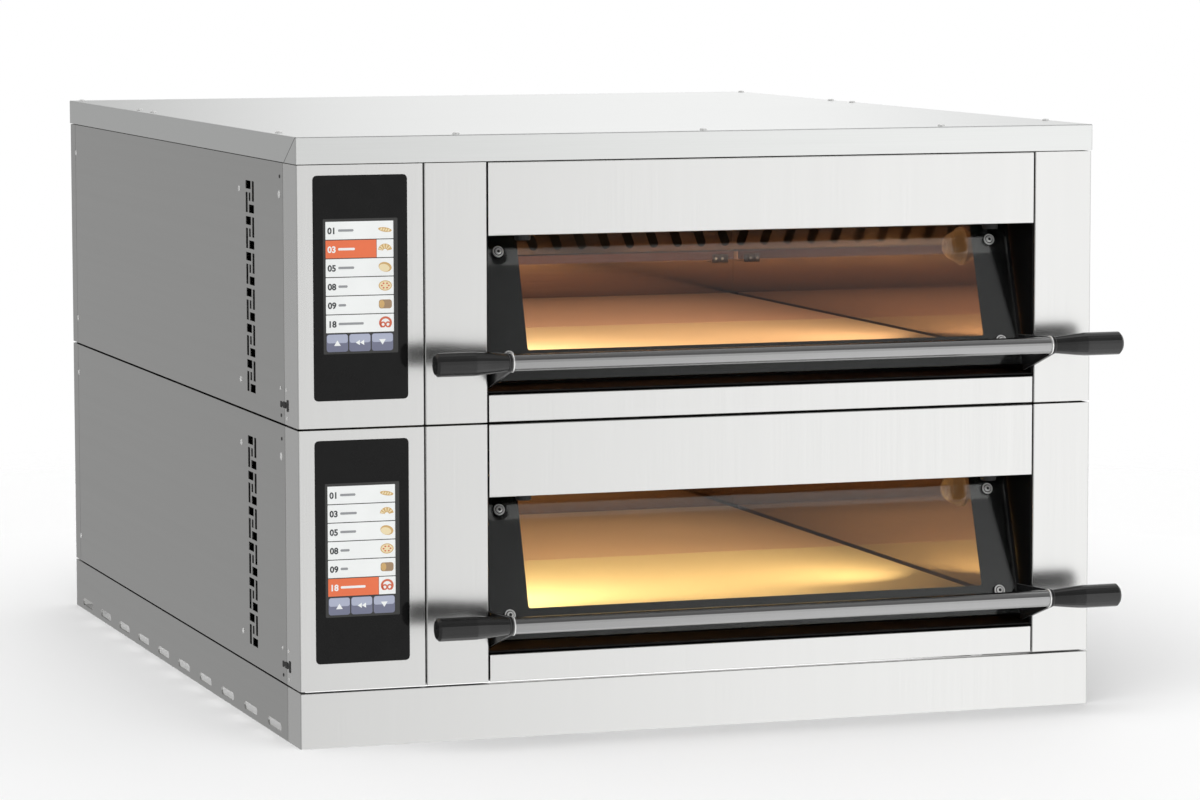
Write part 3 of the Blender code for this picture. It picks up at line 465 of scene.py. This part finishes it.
def digits(text, x, z, height, y):
    """The triangles of a row of digits, standing in the XZ plane."""
    curve = bpy.data.curves.new("digits", "FONT")
    curve.body = text
    curve.size = height * DIGIT_SIZE
    curve.resolution_u = 3
    curve.offset = height * DIGIT_WEIGHT
    obj = bpy.data.objects.new("digits", curve)
    bpy.context.scene.collection.objects.link(obj)
    graph = bpy.context.evaluated_depsgraph_get()
    mesh = bpy.data.meshes.new_from_object(obj.evaluated_get(graph))
    points = [Vector((x + vert.co.x, y, z + vert.co.y)) for vert in mesh.vertices]
    faces = [list(face.vertices) for face in mesh.polygons]
    bpy.data.objects.remove(obj)
    return points, faces


# pictures of six kinds of bread, each in flat layers round the point cx, cz
def baguette(bm, cx, cz, y):
    """A long loaf with four slashes."""
    prism(bm, oval(cx, cz, 0.0082, 0.0026, -9), y, LAYER, IN_CRUST)
    for shift in (-0.0045, -0.0015, 0.0015, 0.0045):
        mark = oval(cx + shift, cz - shift * 0.16, 0.0010, 0.0018, -35, 8)
        prism(bm, mark, y - LAYER, LAYER, IN_CRUMB)


def croissant(bm, cx, cz, y):
    """A bent band with five ridges."""
    low = cz - 0.0032
    prism(bm, arc_band(cx, low, 0.0026, 0.0086, 12, 168), y, LAYER, IN_CRUST)
    for angle in (35, 65, 95, 125, 150):
        band = arc_band(cx, low, 0.0034, 0.0080, angle, angle + 12, 3)
        prism(bm, band, y - LAYER, LAYER, IN_CRUMB)


def roll(bm, cx, cz, y):
    """A slanting oval with a dark rim."""
    prism(bm, oval(cx, cz, 0.0080, 0.0056, -14), y, LAYER, IN_CRUST)
    prism(bm, oval(cx - 0.0010, cz - 0.0008, 0.0064, 0.0042, -14), y - LAYER, LAYER, IN_CRUMB)


def pizza(bm, cx, cz, y):
    """A rimmed oval with six red slices on it."""
    prism(bm, oval(cx, cz, 0.0080, 0.0060), y, LAYER, IN_CRUST)
    prism(bm, oval(cx, cz, 0.0069, 0.0050), y - LAYER, LAYER, IN_CRUMB)
    for x, z in oval(cx, cz, 0.0042, 0.0030, 0, 6):
        prism(bm, oval(x, z, 0.0012, 0.0010, 0, 8), y - 2 * LAYER, LAYER, IN_RED)


def toast(bm, cx, cz, y):
    """A tin loaf with its light end at the left."""
    loaf = rounded(cx - 0.0078, cz - 0.0050, cx + 0.0078, cz + 0.0054, 0.0030)
    prism(bm, loaf, y, LAYER, IN_BROWN)
    prism(bm, oval(cx - 0.0042, cz + 0.0002, 0.0032, 0.0046), y - LAYER, LAYER, IN_CRUST)


def pretzel(bm, cx, cz, y):
    """A wide open loop over two small ones."""
    prism(bm, arc_band(cx, cz, 0.0052, 0.0078, -50, 230, 20, 0.95), y, LAYER, IN_RED)
    for shift, front in ((-0.0030, y), (0.0030, y - LAYER)):
        loop = arc_band(cx + shift, cz - 0.0020, 0.0018, 0.0036, 0, 359, 14)
        prism(bm, loop, front, LAYER, IN_RED)


PICTURES = (baguette, croissant, roll, pizza, toast, pretzel)


def make_row(bm, base, row, chosen, y):
    """One program of the list, without its number: the number's height and ink come back."""
    top = base + LIST_TOP - row * ROW_PITCH
    low = top - ROW_HEIGHT
    middle = (top + low) / 2
    split = ICON_X if chosen else LIST_X[1]
    cell, ink, word = IN_WHITE, IN_INK, IN_WORD
    if chosen:
        cell, ink, word = IN_ORANGE, IN_WHITE, IN_WHITE
    prism(bm, rounded(LIST_X[0], low, split, top, GAP, 2), y, LAYER, cell)
    if chosen:
        prism(bm, rounded(ICON_X + GAP, low, LIST_X[1], top, GAP, 2), y, LAYER, IN_WHITE)
    start = LIST_X[0] + WORD_INSET
    end = start + WORD_LENGTHS[row]
    bar = rounded(start, middle - WORD_HALF, end, middle + WORD_HALF, WORD_CORNER)
    prism(bm, bar, y - LAYER, LAYER, word)
    PICTURES[row](bm, ICON_MIDDLE, middle, y - LAYER)
    return middle, ink


def make_key(bm, base, key, y):
    """One of the three keys below the list: up, back twice, down."""
    third = (LIST_X[1] - LIST_X[0]) / 3
    x0, x1 = LIST_X[0] + key * third + GAP, LIST_X[0] + (key + 1) * third - KEY_GAP
    z0, z1 = base + BUTTON_Z[0], base + BUTTON_Z[1]
    cx, cz = (x0 + x1) / 2, (z0 + z1) / 2
    prism(bm, rounded(x0, z0, x1, z1, KEY_CORNER), y, LAYER, IN_BUTTON_LOW)
    light = rounded(x0 + GAP, cz, x1 - GAP, z1 - GAP, KEY_CORNER - GAP)
    prism(bm, light, y - LAYER, LAYER, IN_BUTTON_TOP)
    half, rise = ARROW
    if key == 1:
        arrows = [[(cx + shift, cz), (cx + shift + BACK_ARROW[0], cz + BACK_ARROW[1]),
                   (cx + shift + BACK_ARROW[0], cz - BACK_ARROW[1])] for shift in BACK_SHIFTS]
    else:
        rise = rise if key == 0 else -rise
        arrows = [[(cx - half, cz - rise), (cx + half, cz - rise), (cx, cz + rise)]]
    for arrow in arrows:
        prism(bm, arrow, y - 2 * LAYER, LAYER, IN_WHITE)


def make_display(deck):
    """The lit list of programs and its three keys, on the touch glass."""
    base = DECK_BOTTOM[deck]
    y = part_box(deck + "_touch_panel")[0].y - FRONT - LAYER
    bm = bmesh.new()
    screen = rounded(SCREEN[0], base + SCREEN[2], SCREEN[1], base + SCREEN[3], SCREEN_CORNER)
    prism(bm, screen, y, LAYER, IN_GREY)
    y -= LAYER
    rows = [make_row(bm, base, row, row == CHOSEN[deck], y) for row in range(len(PROGRAMS))]
    for key in range(3):
        make_key(bm, base, key, y)
    for program, (middle, ink) in zip(PROGRAMS, rows):
        points, faces = digits(program, LIST_X[0] + DIGIT_INSET, middle - DIGIT_HEIGHT / 2,
                               DIGIT_HEIGHT, y - 2 * LAYER)
        for thick in (0.0, LAYER):
            verts = [bm.verts.new(point + Vector((0, thick, 0))) for point in points]
            for face in faces:
                made = bm.faces.new([verts[i] for i in (face if thick else face[::-1])])
                made.material_index = ink
    bm.transform(Matrix.Translation((LEFT, FRONT, 0.0)))
    piece(deck + "_display", bm, DISPLAY, "cabinet")


# ---------------------------------------------------------------- door trim
PANE_FACE = 0.0233                                 # from the hinge back to the glass
PANE_THICK = 0.004
WINDOW = (-0.2895, -0.1538, 0.2935, -0.006)        # left, bottom, right and top
PRINT_Z = (-0.1902, 0.0075)
PRINT_INSET = 0.0006                               # from the glass's sides
PRINT_CORNER = 0.003
BEHIND = 0.00008                                   # gap from the glass to the print
SCREW_PLACES = ((0.315, -0.0337), (0.3146, -0.1615))
# profiles of the screws' parts: radius and height above the glass
WASHER = ((0.0073, 0.0), (0.0073, 0.0010), (0.0070, 0.0012))
RING = ((0.0068, 0.0012), (0.0068, 0.0019), (0.0066, 0.0025), (0.0062, 0.0029),
        (0.0057, 0.0029), (0.0053, 0.0025), (0.0051, 0.0019), (0.0051, 0.0014))
GROOVE = ((0.0050, 0.0014), (0.0050, 0.0016))
HEAD = ((0.0040, 0.0016), (0.0040, 0.0030), (0.0037, 0.0038), (0.0031, 0.0043),
        (0.0023, 0.0045), (0.0021, 0.0030))
SOCKET = ((0.0019, 0.0029), (0.0019, 0.0031))
SCREW_PARTS = ((WASHER, 32, 1, ()), (RING, 32, 0, ()), (GROOVE, 32, 1, ()), (HEAD, 24, 0, (4, 5)),
               (SOCKET, 24, 1, ()))                # with sides, material and hexagonal rings
COLLAR = ((0.0103, 0.0), (0.0114, 0.0004), (0.0114, 0.0016), (0.0103, 0.0020))
COLLAR_X = 0.3383                                  # of a collar's inner face, from the middle
BAR = (-0.0628, -0.1893)                           # the tube's middle, Y and Z


def make_print(deck):
    """The black border printed behind the glass."""
    glass_low, glass_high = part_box(deck + "_door_glass")
    half = (glass_high.x - glass_low.x) / 2 - PRINT_INSET
    y = PANE_FACE + PANE_THICK + BEHIND
    outer = rounded(-half, PRINT_Z[0], half, PRINT_Z[1], PRINT_CORNER)
    inner = rounded(*WINDOW, PRINT_CORNER)
    bm = bmesh.new()
    rings = []
    for back in (0.0, LAYER):
        for outline in (outer, inner):
            rings.append([bm.verts.new((x, y + back, z)) for x, z in outline])
    near_out, near_in, far_out, far_in = rings
    for first, second in ((near_out, near_in), (far_in, far_out), (far_out, near_out),
                          (near_in, far_in)):
        for i in range(len(outer)):
            j = (i + 1) % len(outer)
            bm.faces.new((first[i], first[j], second[j], second[i]))
    piece(deck + "_door_print", bm, [PRINT], deck + "_door", door_matrix(deck))


def make_door_trim(deck):
    """The four screws through the glass, and the collars at the ends of the handle's tube."""
    body, place = deck + "_door", door_matrix(deck)
    bm = bmesh.new()
    for x, z in SCREW_PLACES:
        for side in (-1, 1):
            for profile, sides, index, hexes in SCREW_PARTS:
                turned(bm, profile, (side * x, PANE_FACE, z), (0, -1, 0), sides, index, hexes)
    piece(deck + "_door_screws", bm, [SCREW_STEEL, RUBBER], body, place)
    bm = bmesh.new()
    for side in (-1, 1):
        turned(bm, COLLAR, (side * COLLAR_X, *BAR), (side, 0, 0), sides=40)
    piece(deck + "_tube_collars", bm, [SCREW_STEEL], body, place)


CORNER = math.radians(40.0)                        # sharper edges of the brackets are bevelled, and painted lighter as a highlight
HIGHLIGHT_EDGE_WIDTH = 0.0006                                      # width of the brackets' bevelled edges, which carry the painted highlight


def make_brackets(deck):
    """The brackets with bevelled edges, painted a little lighter than the enamel as a highlight."""
    for side in ("left", "right"):
        node = frame["nodes"][deck + "_bracket_" + side]
        bm = bare_copy(node)
        sharp = [edge for edge in bm.edges
                 if len(edge.link_faces) == 2 and edge.calc_face_angle() > CORNER]
        edges = bmesh.ops.bevel(bm, geom=sharp, offset=HIGHLIGHT_EDGE_WIDTH, segments=2, affect="EDGES", profile=0.5)
        # the bevel's faces get the lighter grey of the painted highlight
        for face in edges["faces"]:
            face.material_index = 1
        name = deck + "_bracket_" + side + "_plate"
        plate = piece(name, bm, [ENAMEL, EDGE_HIGHLIGHT_PAINT], deck + "_door")
        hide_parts(node.name)


# ---------------------------------------------------------------- screws
# on each side of a deck, from the front and above the deck's bottom
SIDE_SCREWS = ((1.203, 0.266), (1.203, 0.035), (0.269, 0.265), (0.269, 0.034))
COVER_FRONT_X = (0.196, 0.502, 0.807)
COVER_FRONT_Y = 0.012
COVER_SIDE_Y = (0.115, 0.765, 0.845, 1.205)
COVER_SIDE_INSET = 0.010
SIDE_HEAD = (0.0035, 0.0009)                       # radius and height
SEAM_HEAD = (0.0045, 0.0009)
SEAM_SCREW = (0.078, 0.268)                        # from the front, above the deck's bottom


def make_screws():
    """The heads on the outside of the cabinet."""
    bm = bmesh.new()
    places = [(x, COVER_FRONT_Y) for x in COVER_FRONT_X]
    for y in COVER_SIDE_Y:
        places += [(COVER_SIDE_INSET, y), (WIDTH - COVER_SIDE_INSET, y)]
    for x, y in places:
        dome_screw(bm, at(x, y, COVER_TOP), (0, 0, 1), *COVER_HEAD)
    piece("cover_screws", bm, [SCREW_STEEL], "cabinet")
    for deck in DECKS:
        bm = bmesh.new()
        base = DECK_BOTTOM[deck]
        for x, side in ((0.0, -1), (WIDTH, 1)):
            for y, z in SIDE_SCREWS:
                dome_screw(bm, at(x, y, base + z), (side, 0, 0), *SIDE_HEAD)
            y, z = SEAM_SCREW
            dome_screw(bm, at(x, y, base + z), (side, 0, 0), *SEAM_HEAD)
        piece(deck + "_side_screws", bm, [SCREW_STEEL], "cabinet")


# ---------------------------------------------------------------- left side
# from the front and above the deck's bottom: Y and Y, Z and Z, and how far it stands out
LATCH = ((0.0430, 0.0505, 0.0159, 0.0295, 0.0004), (0.0735, 0.0800, 0.0185, 0.0257, 0.0004),
         (0.0490, 0.0750, 0.0203, 0.0249, 0.0005), (0.0550, 0.0670, 0.0189, 0.0263, 0.0007))
LATCH_CORNER = 0.0008
HOLES = ((0.0755, 0.289), (0.0765, 0.009))
RIVETS = ((0.0785, 0.041), (0.0520, 0.0405), (0.0500, 0.0075))
HOLE = ((0.0021, 0.0), (0.0021, 0.0004))           # radius and height
RIVET = ((0.0022, 0.0), (0.0022, 0.0003), (0.0017, 0.0007), (0.0009, 0.0009))


def make_side_fittings(deck):
    """The latch that joins the deck's corner to its side, its rivets and the small holes."""
    base = DECK_BOTTOM[deck]
    bm = bmesh.new()
    for y0, y1, z0, z1, proud in LATCH:
        outline = rounded(y0, base + z0, y1, base + z1, LATCH_CORNER, 2)
        slab(bm, [at(-proud, y, z) for y, z in outline], [at(0.0, y, z) for y, z in outline])
    for y, z in HOLES:
        turned(bm, HOLE, at(0.0, y, base + z), (-1, 0, 0), sides=16)
    for y, z in RIVETS:
        turned(bm, RIVET, at(0.0, y, base + z), (-1, 0, 0), sides=16, index=1)
    piece(deck + "_side_fittings", bm, [RUBBER, SCREW_STEEL], "cabinet")


# ---------------------------------------------------------------- chamber
RIB_Z = (0.1045, 0.1165)                           # heat tinted, above the deck's bottom
RIB_CORNER = 0.002
RIB_PROUD = 0.0003
WALL_EDGE = 0.003                                  # of the back wall, left free
LAMP_SUNK = 0.025                                  # from the lamp's inner end to the right wall
# the probe's clip: from the right wall, X and X, and how far it stands out
CLIP_PLATES = ((-0.036, -0.012, 0.0012), (-0.034, -0.029, 0.0030), (-0.024, -0.019, 0.0030))
CLIP_Z = (0.1000, 0.1120)
CLIP_CORNER = 0.0010
CLIP_SCREWS = (-0.0315, -0.0215)
CLIP_HEAD = ((0.0020, 0.0), (0.0020, 0.0008), (0.0012, 0.0012))
# black plates put where there is only shade, behind the back wall and under the deck
BAFFLE_THICK = 0.0010
BAFFLE_CORNER = 0.004
BAFFLE_GAP = 0.0006                                # behind the back wall
BAFFLE_INSET = 0.004                               # from the deck's sides
BAFFLE_RISE = 0.003                                # above the deck's bottom


def make_chamber_fittings(deck):
    """The temperature probe's clip on the back wall, and the tint along the wall's rib."""
    base = DECK_BOTTOM[deck]
    low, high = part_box(deck + "_chamber_back")
    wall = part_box(deck + "_chamber_lamp")[0].x + LAMP_SUNK
    bm = bmesh.new()
    for x0, x1, proud in CLIP_PLATES:
        plate = rounded(wall + x0, base + CLIP_Z[0], wall + x1, base + CLIP_Z[1], CLIP_CORNER, 2)
        prism(bm, plate, low.y - proud, proud)
    proud, middle = CLIP_PLATES[1][2], base + sum(CLIP_Z) / 2
    for x in CLIP_SCREWS:
        place = (wall + x, low.y - proud, middle)
        turned(bm, CLIP_HEAD, place, (0, -1, 0), sides=12, index=1)
    piece(deck + "_probe_clip", bm, [SHEATH, SCREW_STEEL], "cabinet")
    bm = bmesh.new()
    strip = rounded(low.x + WALL_EDGE, base + RIB_Z[0], high.x - WALL_EDGE, base + RIB_Z[1],
                    RIB_CORNER)
    prism(bm, strip, low.y - RIB_PROUD, RIB_PROUD)
    piece(deck + "_rib_strip", bm, [RIB], "cabinet")


def make_shade_plates(deck):
    """Black plates behind the back wall's slots and under the deck, which keep daylight out: dark
    sheets that stand in for shade.
    """
    low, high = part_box(deck + "_chamber_back")
    bm = bmesh.new()
    outline = rounded(low.x + WALL_EDGE, low.z + WALL_EDGE, high.x - WALL_EDGE, high.z - WALL_EDGE,
                      BAFFLE_CORNER)
    prism(bm, outline, high.y + BAFFLE_GAP, BAFFLE_THICK)
    piece(deck + "_back_shade_plate", bm, [MOUTH], "cabinet")
    near, right, far = BAFFLE_INSET, WIDTH - BAFFLE_INSET, DEPTH - BAFFLE_INSET
    corners = ((near, near), (right, near), (right, far), (near, far))
    bottom = DECK_BOTTOM[deck] + BAFFLE_RISE
    bm = bmesh.new()
    slab(bm, [at(x, y, bottom) for x, y in corners],
         [at(x, y, bottom + BAFFLE_THICK) for x, y in corners])
    piece(deck + "_floor_shade_plate", bm, [MOUTH], "cabinet")


for deck in DECKS:
    make_display(deck)
    make_print(deck)
    make_door_trim(deck)
    make_brackets(deck)
    make_side_fittings(deck)
    make_chamber_fittings(deck)
    make_shade_plates(deck)
make_screws()


# ---------------------------------------------------------------- folds of the sheets
FOLD = 0.0013                                      # outer radius of a fold
ON_PLANE = 0.00003                                 # points that close to a plane lie on it
UPRIGHT = ("x0y0", "x1y0")
LEVEL = ("y0z0", "y0z1")
FOLDS = {"top_cover": ("x0y0", "x1y0", "x0y1", "x1y1", "x0z1", "x1z1", "y0z1", "y1z1"),
         "base_front": ("x0y0", "x1y0", "x0z1", "y0z1", "x1z1")}
for deck in DECKS:
    for name in ("control_fascia", "left_post", "right_post"):
        FOLDS[deck + "_" + name] = UPRIGHT
    for name in ("upper_fascia", "lower_rail"):
        FOLDS[deck + "_" + name] = LEVEL


def fold_edges(name, folds):
    """A copy of a folded sheet whose folds are round instead of sharp."""
    node = frame["nodes"][name]
    low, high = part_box(name)
    planes = {"x0": (0, low.x), "x1": (0, high.x), "y0": (1, low.y), "y1": (1, high.y),
              "z0": (2, low.z), "z1": (2, high.z)}
    if name == "top_cover":
        planes["z1"] = (2, high.z - COVER_HEAD[1])
    bm = bare_copy(node)
    chosen = []
    for edge in bm.edges:
        for fold in folds:
            sides = (planes[fold[:2]], planes[fold[2:]])
            if all(abs(vert.co[axis] - place) < ON_PLANE
                   for vert in edge.verts for axis, place in sides):
                chosen.append(edge)
                break
    bmesh.ops.bevel(bm, geom=chosen, offset=FOLD, segments=4, affect="EDGES", profile=0.5,
                    clamp_overlap=False)
    for face in bm.faces:
        face.material_index = 0
    steel, slot = FRONT_STEEL, "front_steel"
    if name == "top_cover":
        steel, slot = COVER_STEEL, "cover_steel"
    sheet = piece(name + "_sheet", bm, [steel], "cabinet", smooth=5.0)
    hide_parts(name)


for name, folds in FOLDS.items():
    fold_edges(name, folds)


# ---------------------------------------------------------------- studio
WHITE = (1.0, 1.0, 1.0)
SUN_DIRECTION = (0.25, 0.35, -1.0)
SUN_STRENGTH, SUN_ANGLE = 2.6, 60.0
# the light of each deck's chamber, near the lamp and near the window, and its power
GLOW = {"upper": {"warm": (1.0, 0.66, 0.42), "pale": (1.0, 0.90, 0.60), "power": 1.0},
        "lower": {"warm": (1.0, 0.78, 0.40), "pale": (1.0, 0.93, 0.55), "power": 1.12}}
# a chamber's lights: place and target, from the left side, the front and the deck's bottom, then
# size, energy, tone and spread
CHAMBER_LIGHTS = {
    "front": ((0.262, 0.140, 0.200), (0.40, 0.42, 0.057), (0.06, 0.06), 0.75, "pale", 110.0),
    "row": ((0.48, 0.150, 0.222), (0.52, 0.40, 0.057), (0.45, 0.02), 0.7, "warm", 110.0),
    "ceiling": ((0.5775, 0.60, 0.2215), (0.5775, 0.60, 0.0), (0.62, 0.80), 0.7, "warm", 170.0),
}
LAMP_LIGHT_OFFSET = Vector((-0.012, 0.02, 0.02))   # from the lamp's lower left front corner
LAMP_TARGET = (0.50, 0.80, 0.08)
LAMP_SIZE, LAMP_ENERGY, LAMP_SPREAD = (0.03, 0.03), 0.6, 110.0
PLINTH_LIGHT_Z = 0.060                             # just under the platform
PLINTH_LIGHT_SIZE, PLINTH_ENERGY, PLINTH_SPREAD = (0.9, 1.1), 4.0, 180.0
# the room's brightness from left to right, by the X of the direction
TONES = ((0.0, 0.28), (0.34, 0.30), (0.50, 0.38), (0.61, 0.41), (0.64, 0.47), (0.665, 0.90),
         (0.70, 0.98), (0.715, 0.98), (0.74, 0.70), (0.80, 0.60), (1.0, 0.50))
BEHIND_TURN = 0.035                                # how far the tones shift behind the oven
BEHIND_EDGE = 0.1                                  # the directions' Y over which they do
ROOM_STRENGTH = (1.60, 1.38)                       # in front of the oven and behind it
CEILING = (0.20, 0.48)                             # the directions' Z over which the room fades
CEILING_SHARE = (0.22, 0.80)                       # what is left of it in front and behind
CEILING_EDGE = 0.3
FLOOR_TONE = (0.90, 0.90, 0.90)
FLOOR_FADE = (1.5, 2.6)                            # radii between which the floor fades out
FLOOR_SIZE = 30.0
CAMERA_PLACE = (-1.85725, -5.73502, 0.948)
CAMERA_TURN, CAMERA_DROP, CAMERA_ROLL = -18.50, 5.80, -0.11
CAMERA_LENS, CAMERA_FILM = 138.5, 36.0             # millimetres


def aimed(name, light, direction, place=(0.0, 0.0, 0.0)):
    """Puts a light in the scene, where it doesn't show in the steel."""
    obj = bpy.data.objects.new(name, light)
    obj.location = place
    obj.rotation_euler = Vector(direction).to_track_quat("-Z", "Y").to_euler()
    obj.visible_glossy = False
    bpy.context.scene.collection.objects.link(obj)


def sun(name, direction, strength, angle):
    """Soft even light from one direction."""
    light = bpy.data.lights.new(name, "SUN")
    light.energy = strength
    light.angle = math.radians(angle)
    aimed(name, light, direction)


def beam(name, place, target, size, energy, colour, spread_angle):
    """Light from a small rectangle towards a point."""
    light = bpy.data.lights.new(name, "AREA")
    light.shape = "RECTANGLE"
    light.size, light.size_y = size
    light.energy = energy
    light.color = colour
    light.spread = math.radians(spread_angle)
    aimed(name, light, Vector(target) - Vector(place), place)


def light_chamber(deck):
    """The glow of a hot chamber: at the window, along the mouth, from above and at the lamp."""
    glow = GLOW[deck]
    raised = Vector((0.0, 0.0, DECK_BOTTOM[deck]))
    for name, (place, target, size, energy, tone, angle) in CHAMBER_LIGHTS.items():
        beam(deck + "_" + name + "_light", at(*place) + raised, at(*target) + raised, size,
             energy * glow["power"], glow[tone], angle)
    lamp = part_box(deck + "_chamber_lamp")[0] + LAMP_LIGHT_OFFSET
    beam(deck + "_lamp_light", lamp, at(*LAMP_TARGET) + raised, LAMP_SIZE,
         LAMP_ENERGY * glow["power"], glow["warm"], LAMP_SPREAD)


def light_plinth():
    """Daylight under the platform, for the plinth's slots."""
    middle = at(WIDTH / 2, DEPTH / 2, 0.0)
    place = middle + Vector((0.0, 0.0, PLINTH_LIGHT_Z))
    beam("plinth_light", place, middle, PLINTH_LIGHT_SIZE, PLINTH_ENERGY, WHITE, PLINTH_SPREAD)


def studio_world():
    """A white room, darker on the left and overhead; the camera itself sees plain white."""
    world = bpy.data.worlds.new("studio")
    bpy.context.scene.world = world
    world.use_nodes = True
    nodes, links = world.node_tree.nodes, world.node_tree.links
    place = nodes.new("ShaderNodeTexCoord")
    split = nodes.new("ShaderNodeSeparateXYZ")
    links.new(place.outputs["Generated"], split.inputs["Vector"])
    across, along, up = (split.outputs[axis] for axis in "XYZ")
    shifted = nodes.new("ShaderNodeMath")
    shifted.operation = "ADD"
    links.new(spread(world, across, 0.0, 1.0, -1.0, 1.0), shifted.inputs[0])
    links.new(spread(world, along, 0.0, BEHIND_TURN, -BEHIND_EDGE, BEHIND_EDGE), shifted.inputs[1])
    ramp = nodes.new("ShaderNodeValToRGB")
    links.new(shifted.outputs["Value"], ramp.inputs["Fac"])
    while len(ramp.color_ramp.elements) < len(TONES):
        ramp.color_ramp.elements.new(0.5)
    for element, (position, value) in zip(ramp.color_ramp.elements, TONES):
        element.position = position
        element.color = (value, value, value, 1.0)
    low_share = spread(world, along, *CEILING_SHARE, -CEILING_EDGE, CEILING_EDGE)
    share = spread(world, spread(world, up, 1.0, 0.0, *CEILING), 0.0, 1.0, 0.0, 1.0)
    links.new(low_share, share.node.inputs["To Min"])
    strength = nodes.new("ShaderNodeMath")
    strength.operation = "MULTIPLY"
    links.new(share, strength.inputs[0])
    level = spread(world, along, *ROOM_STRENGTH, -BEHIND_EDGE, BEHIND_EDGE)
    links.new(level, strength.inputs[1])
    room = nodes["Background"]
    links.new(ramp.outputs["Color"], room.inputs["Color"])
    links.new(strength.outputs["Value"], room.inputs["Strength"])
    backdrop = nodes.new("ShaderNodeBackground")
    backdrop.inputs["Color"].default_value = (*WHITE, 1.0)
    rays = nodes.new("ShaderNodeLightPath")
    seen = nodes.new("ShaderNodeMixShader")
    links.new(rays.outputs["Is Camera Ray"], seen.inputs["Fac"])
    links.new(room.outputs["Background"], seen.inputs[1])
    links.new(backdrop.outputs["Background"], seen.inputs[2])
    links.new(seen.outputs["Shader"], nodes["World Output"].inputs["Surface"])


def make_floor():
    """A pale floor that fades out round the oven."""
    bm = bmesh.new()
    bmesh.ops.create_grid(bm, x_segments=1, y_segments=1, size=FLOOR_SIZE)
    mesh = bpy.data.meshes.new("floor")
    bm.to_mesh(mesh)
    bm.free()
    paint = look("floor_paint", FLOOR_TONE, roughness=0.8)
    nodes, links = paint.node_tree.nodes, paint.node_tree.links
    place = nodes.new("ShaderNodeTexCoord")
    reach = nodes.new("ShaderNodeVectorMath")
    reach.operation = "LENGTH"
    links.new(place.outputs["Object"], reach.inputs[0])
    feed(paint, spread(paint, reach.outputs["Value"], 1.0, 0.0, *FLOOR_FADE), "Alpha")
    mesh.materials.append(paint)
    floor = bpy.data.objects.new("floor", mesh)
    floor.visible_glossy = False
    bpy.context.scene.collection.objects.link(floor)


def make_camera():
    """The camera at the photograph's viewing angle."""
    data = bpy.data.cameras.new("camera")
    data.lens = CAMERA_LENS
    data.sensor_width = CAMERA_FILM
    camera = bpy.data.objects.new("camera", data)
    camera.location = CAMERA_PLACE
    turn = Matrix.Rotation(math.radians(CAMERA_TURN), 4, "Z")
    tilt = Matrix.Rotation(math.radians(90.0 - CAMERA_DROP), 4, "X")
    roll = Matrix.Rotation(math.radians(CAMERA_ROLL), 4, "Z")
    camera.rotation_euler = (turn @ tilt @ roll).to_euler()
    bpy.context.scene.collection.objects.link(camera)
    bpy.context.scene.camera = camera
    bpy.context.scene.view_settings.view_transform = "Standard"


sun("overhead", SUN_DIRECTION, SUN_STRENGTH, SUN_ANGLE)
for deck in DECKS:
    light_chamber(deck)
light_plinth()
studio_world()
make_floor()
make_camera()
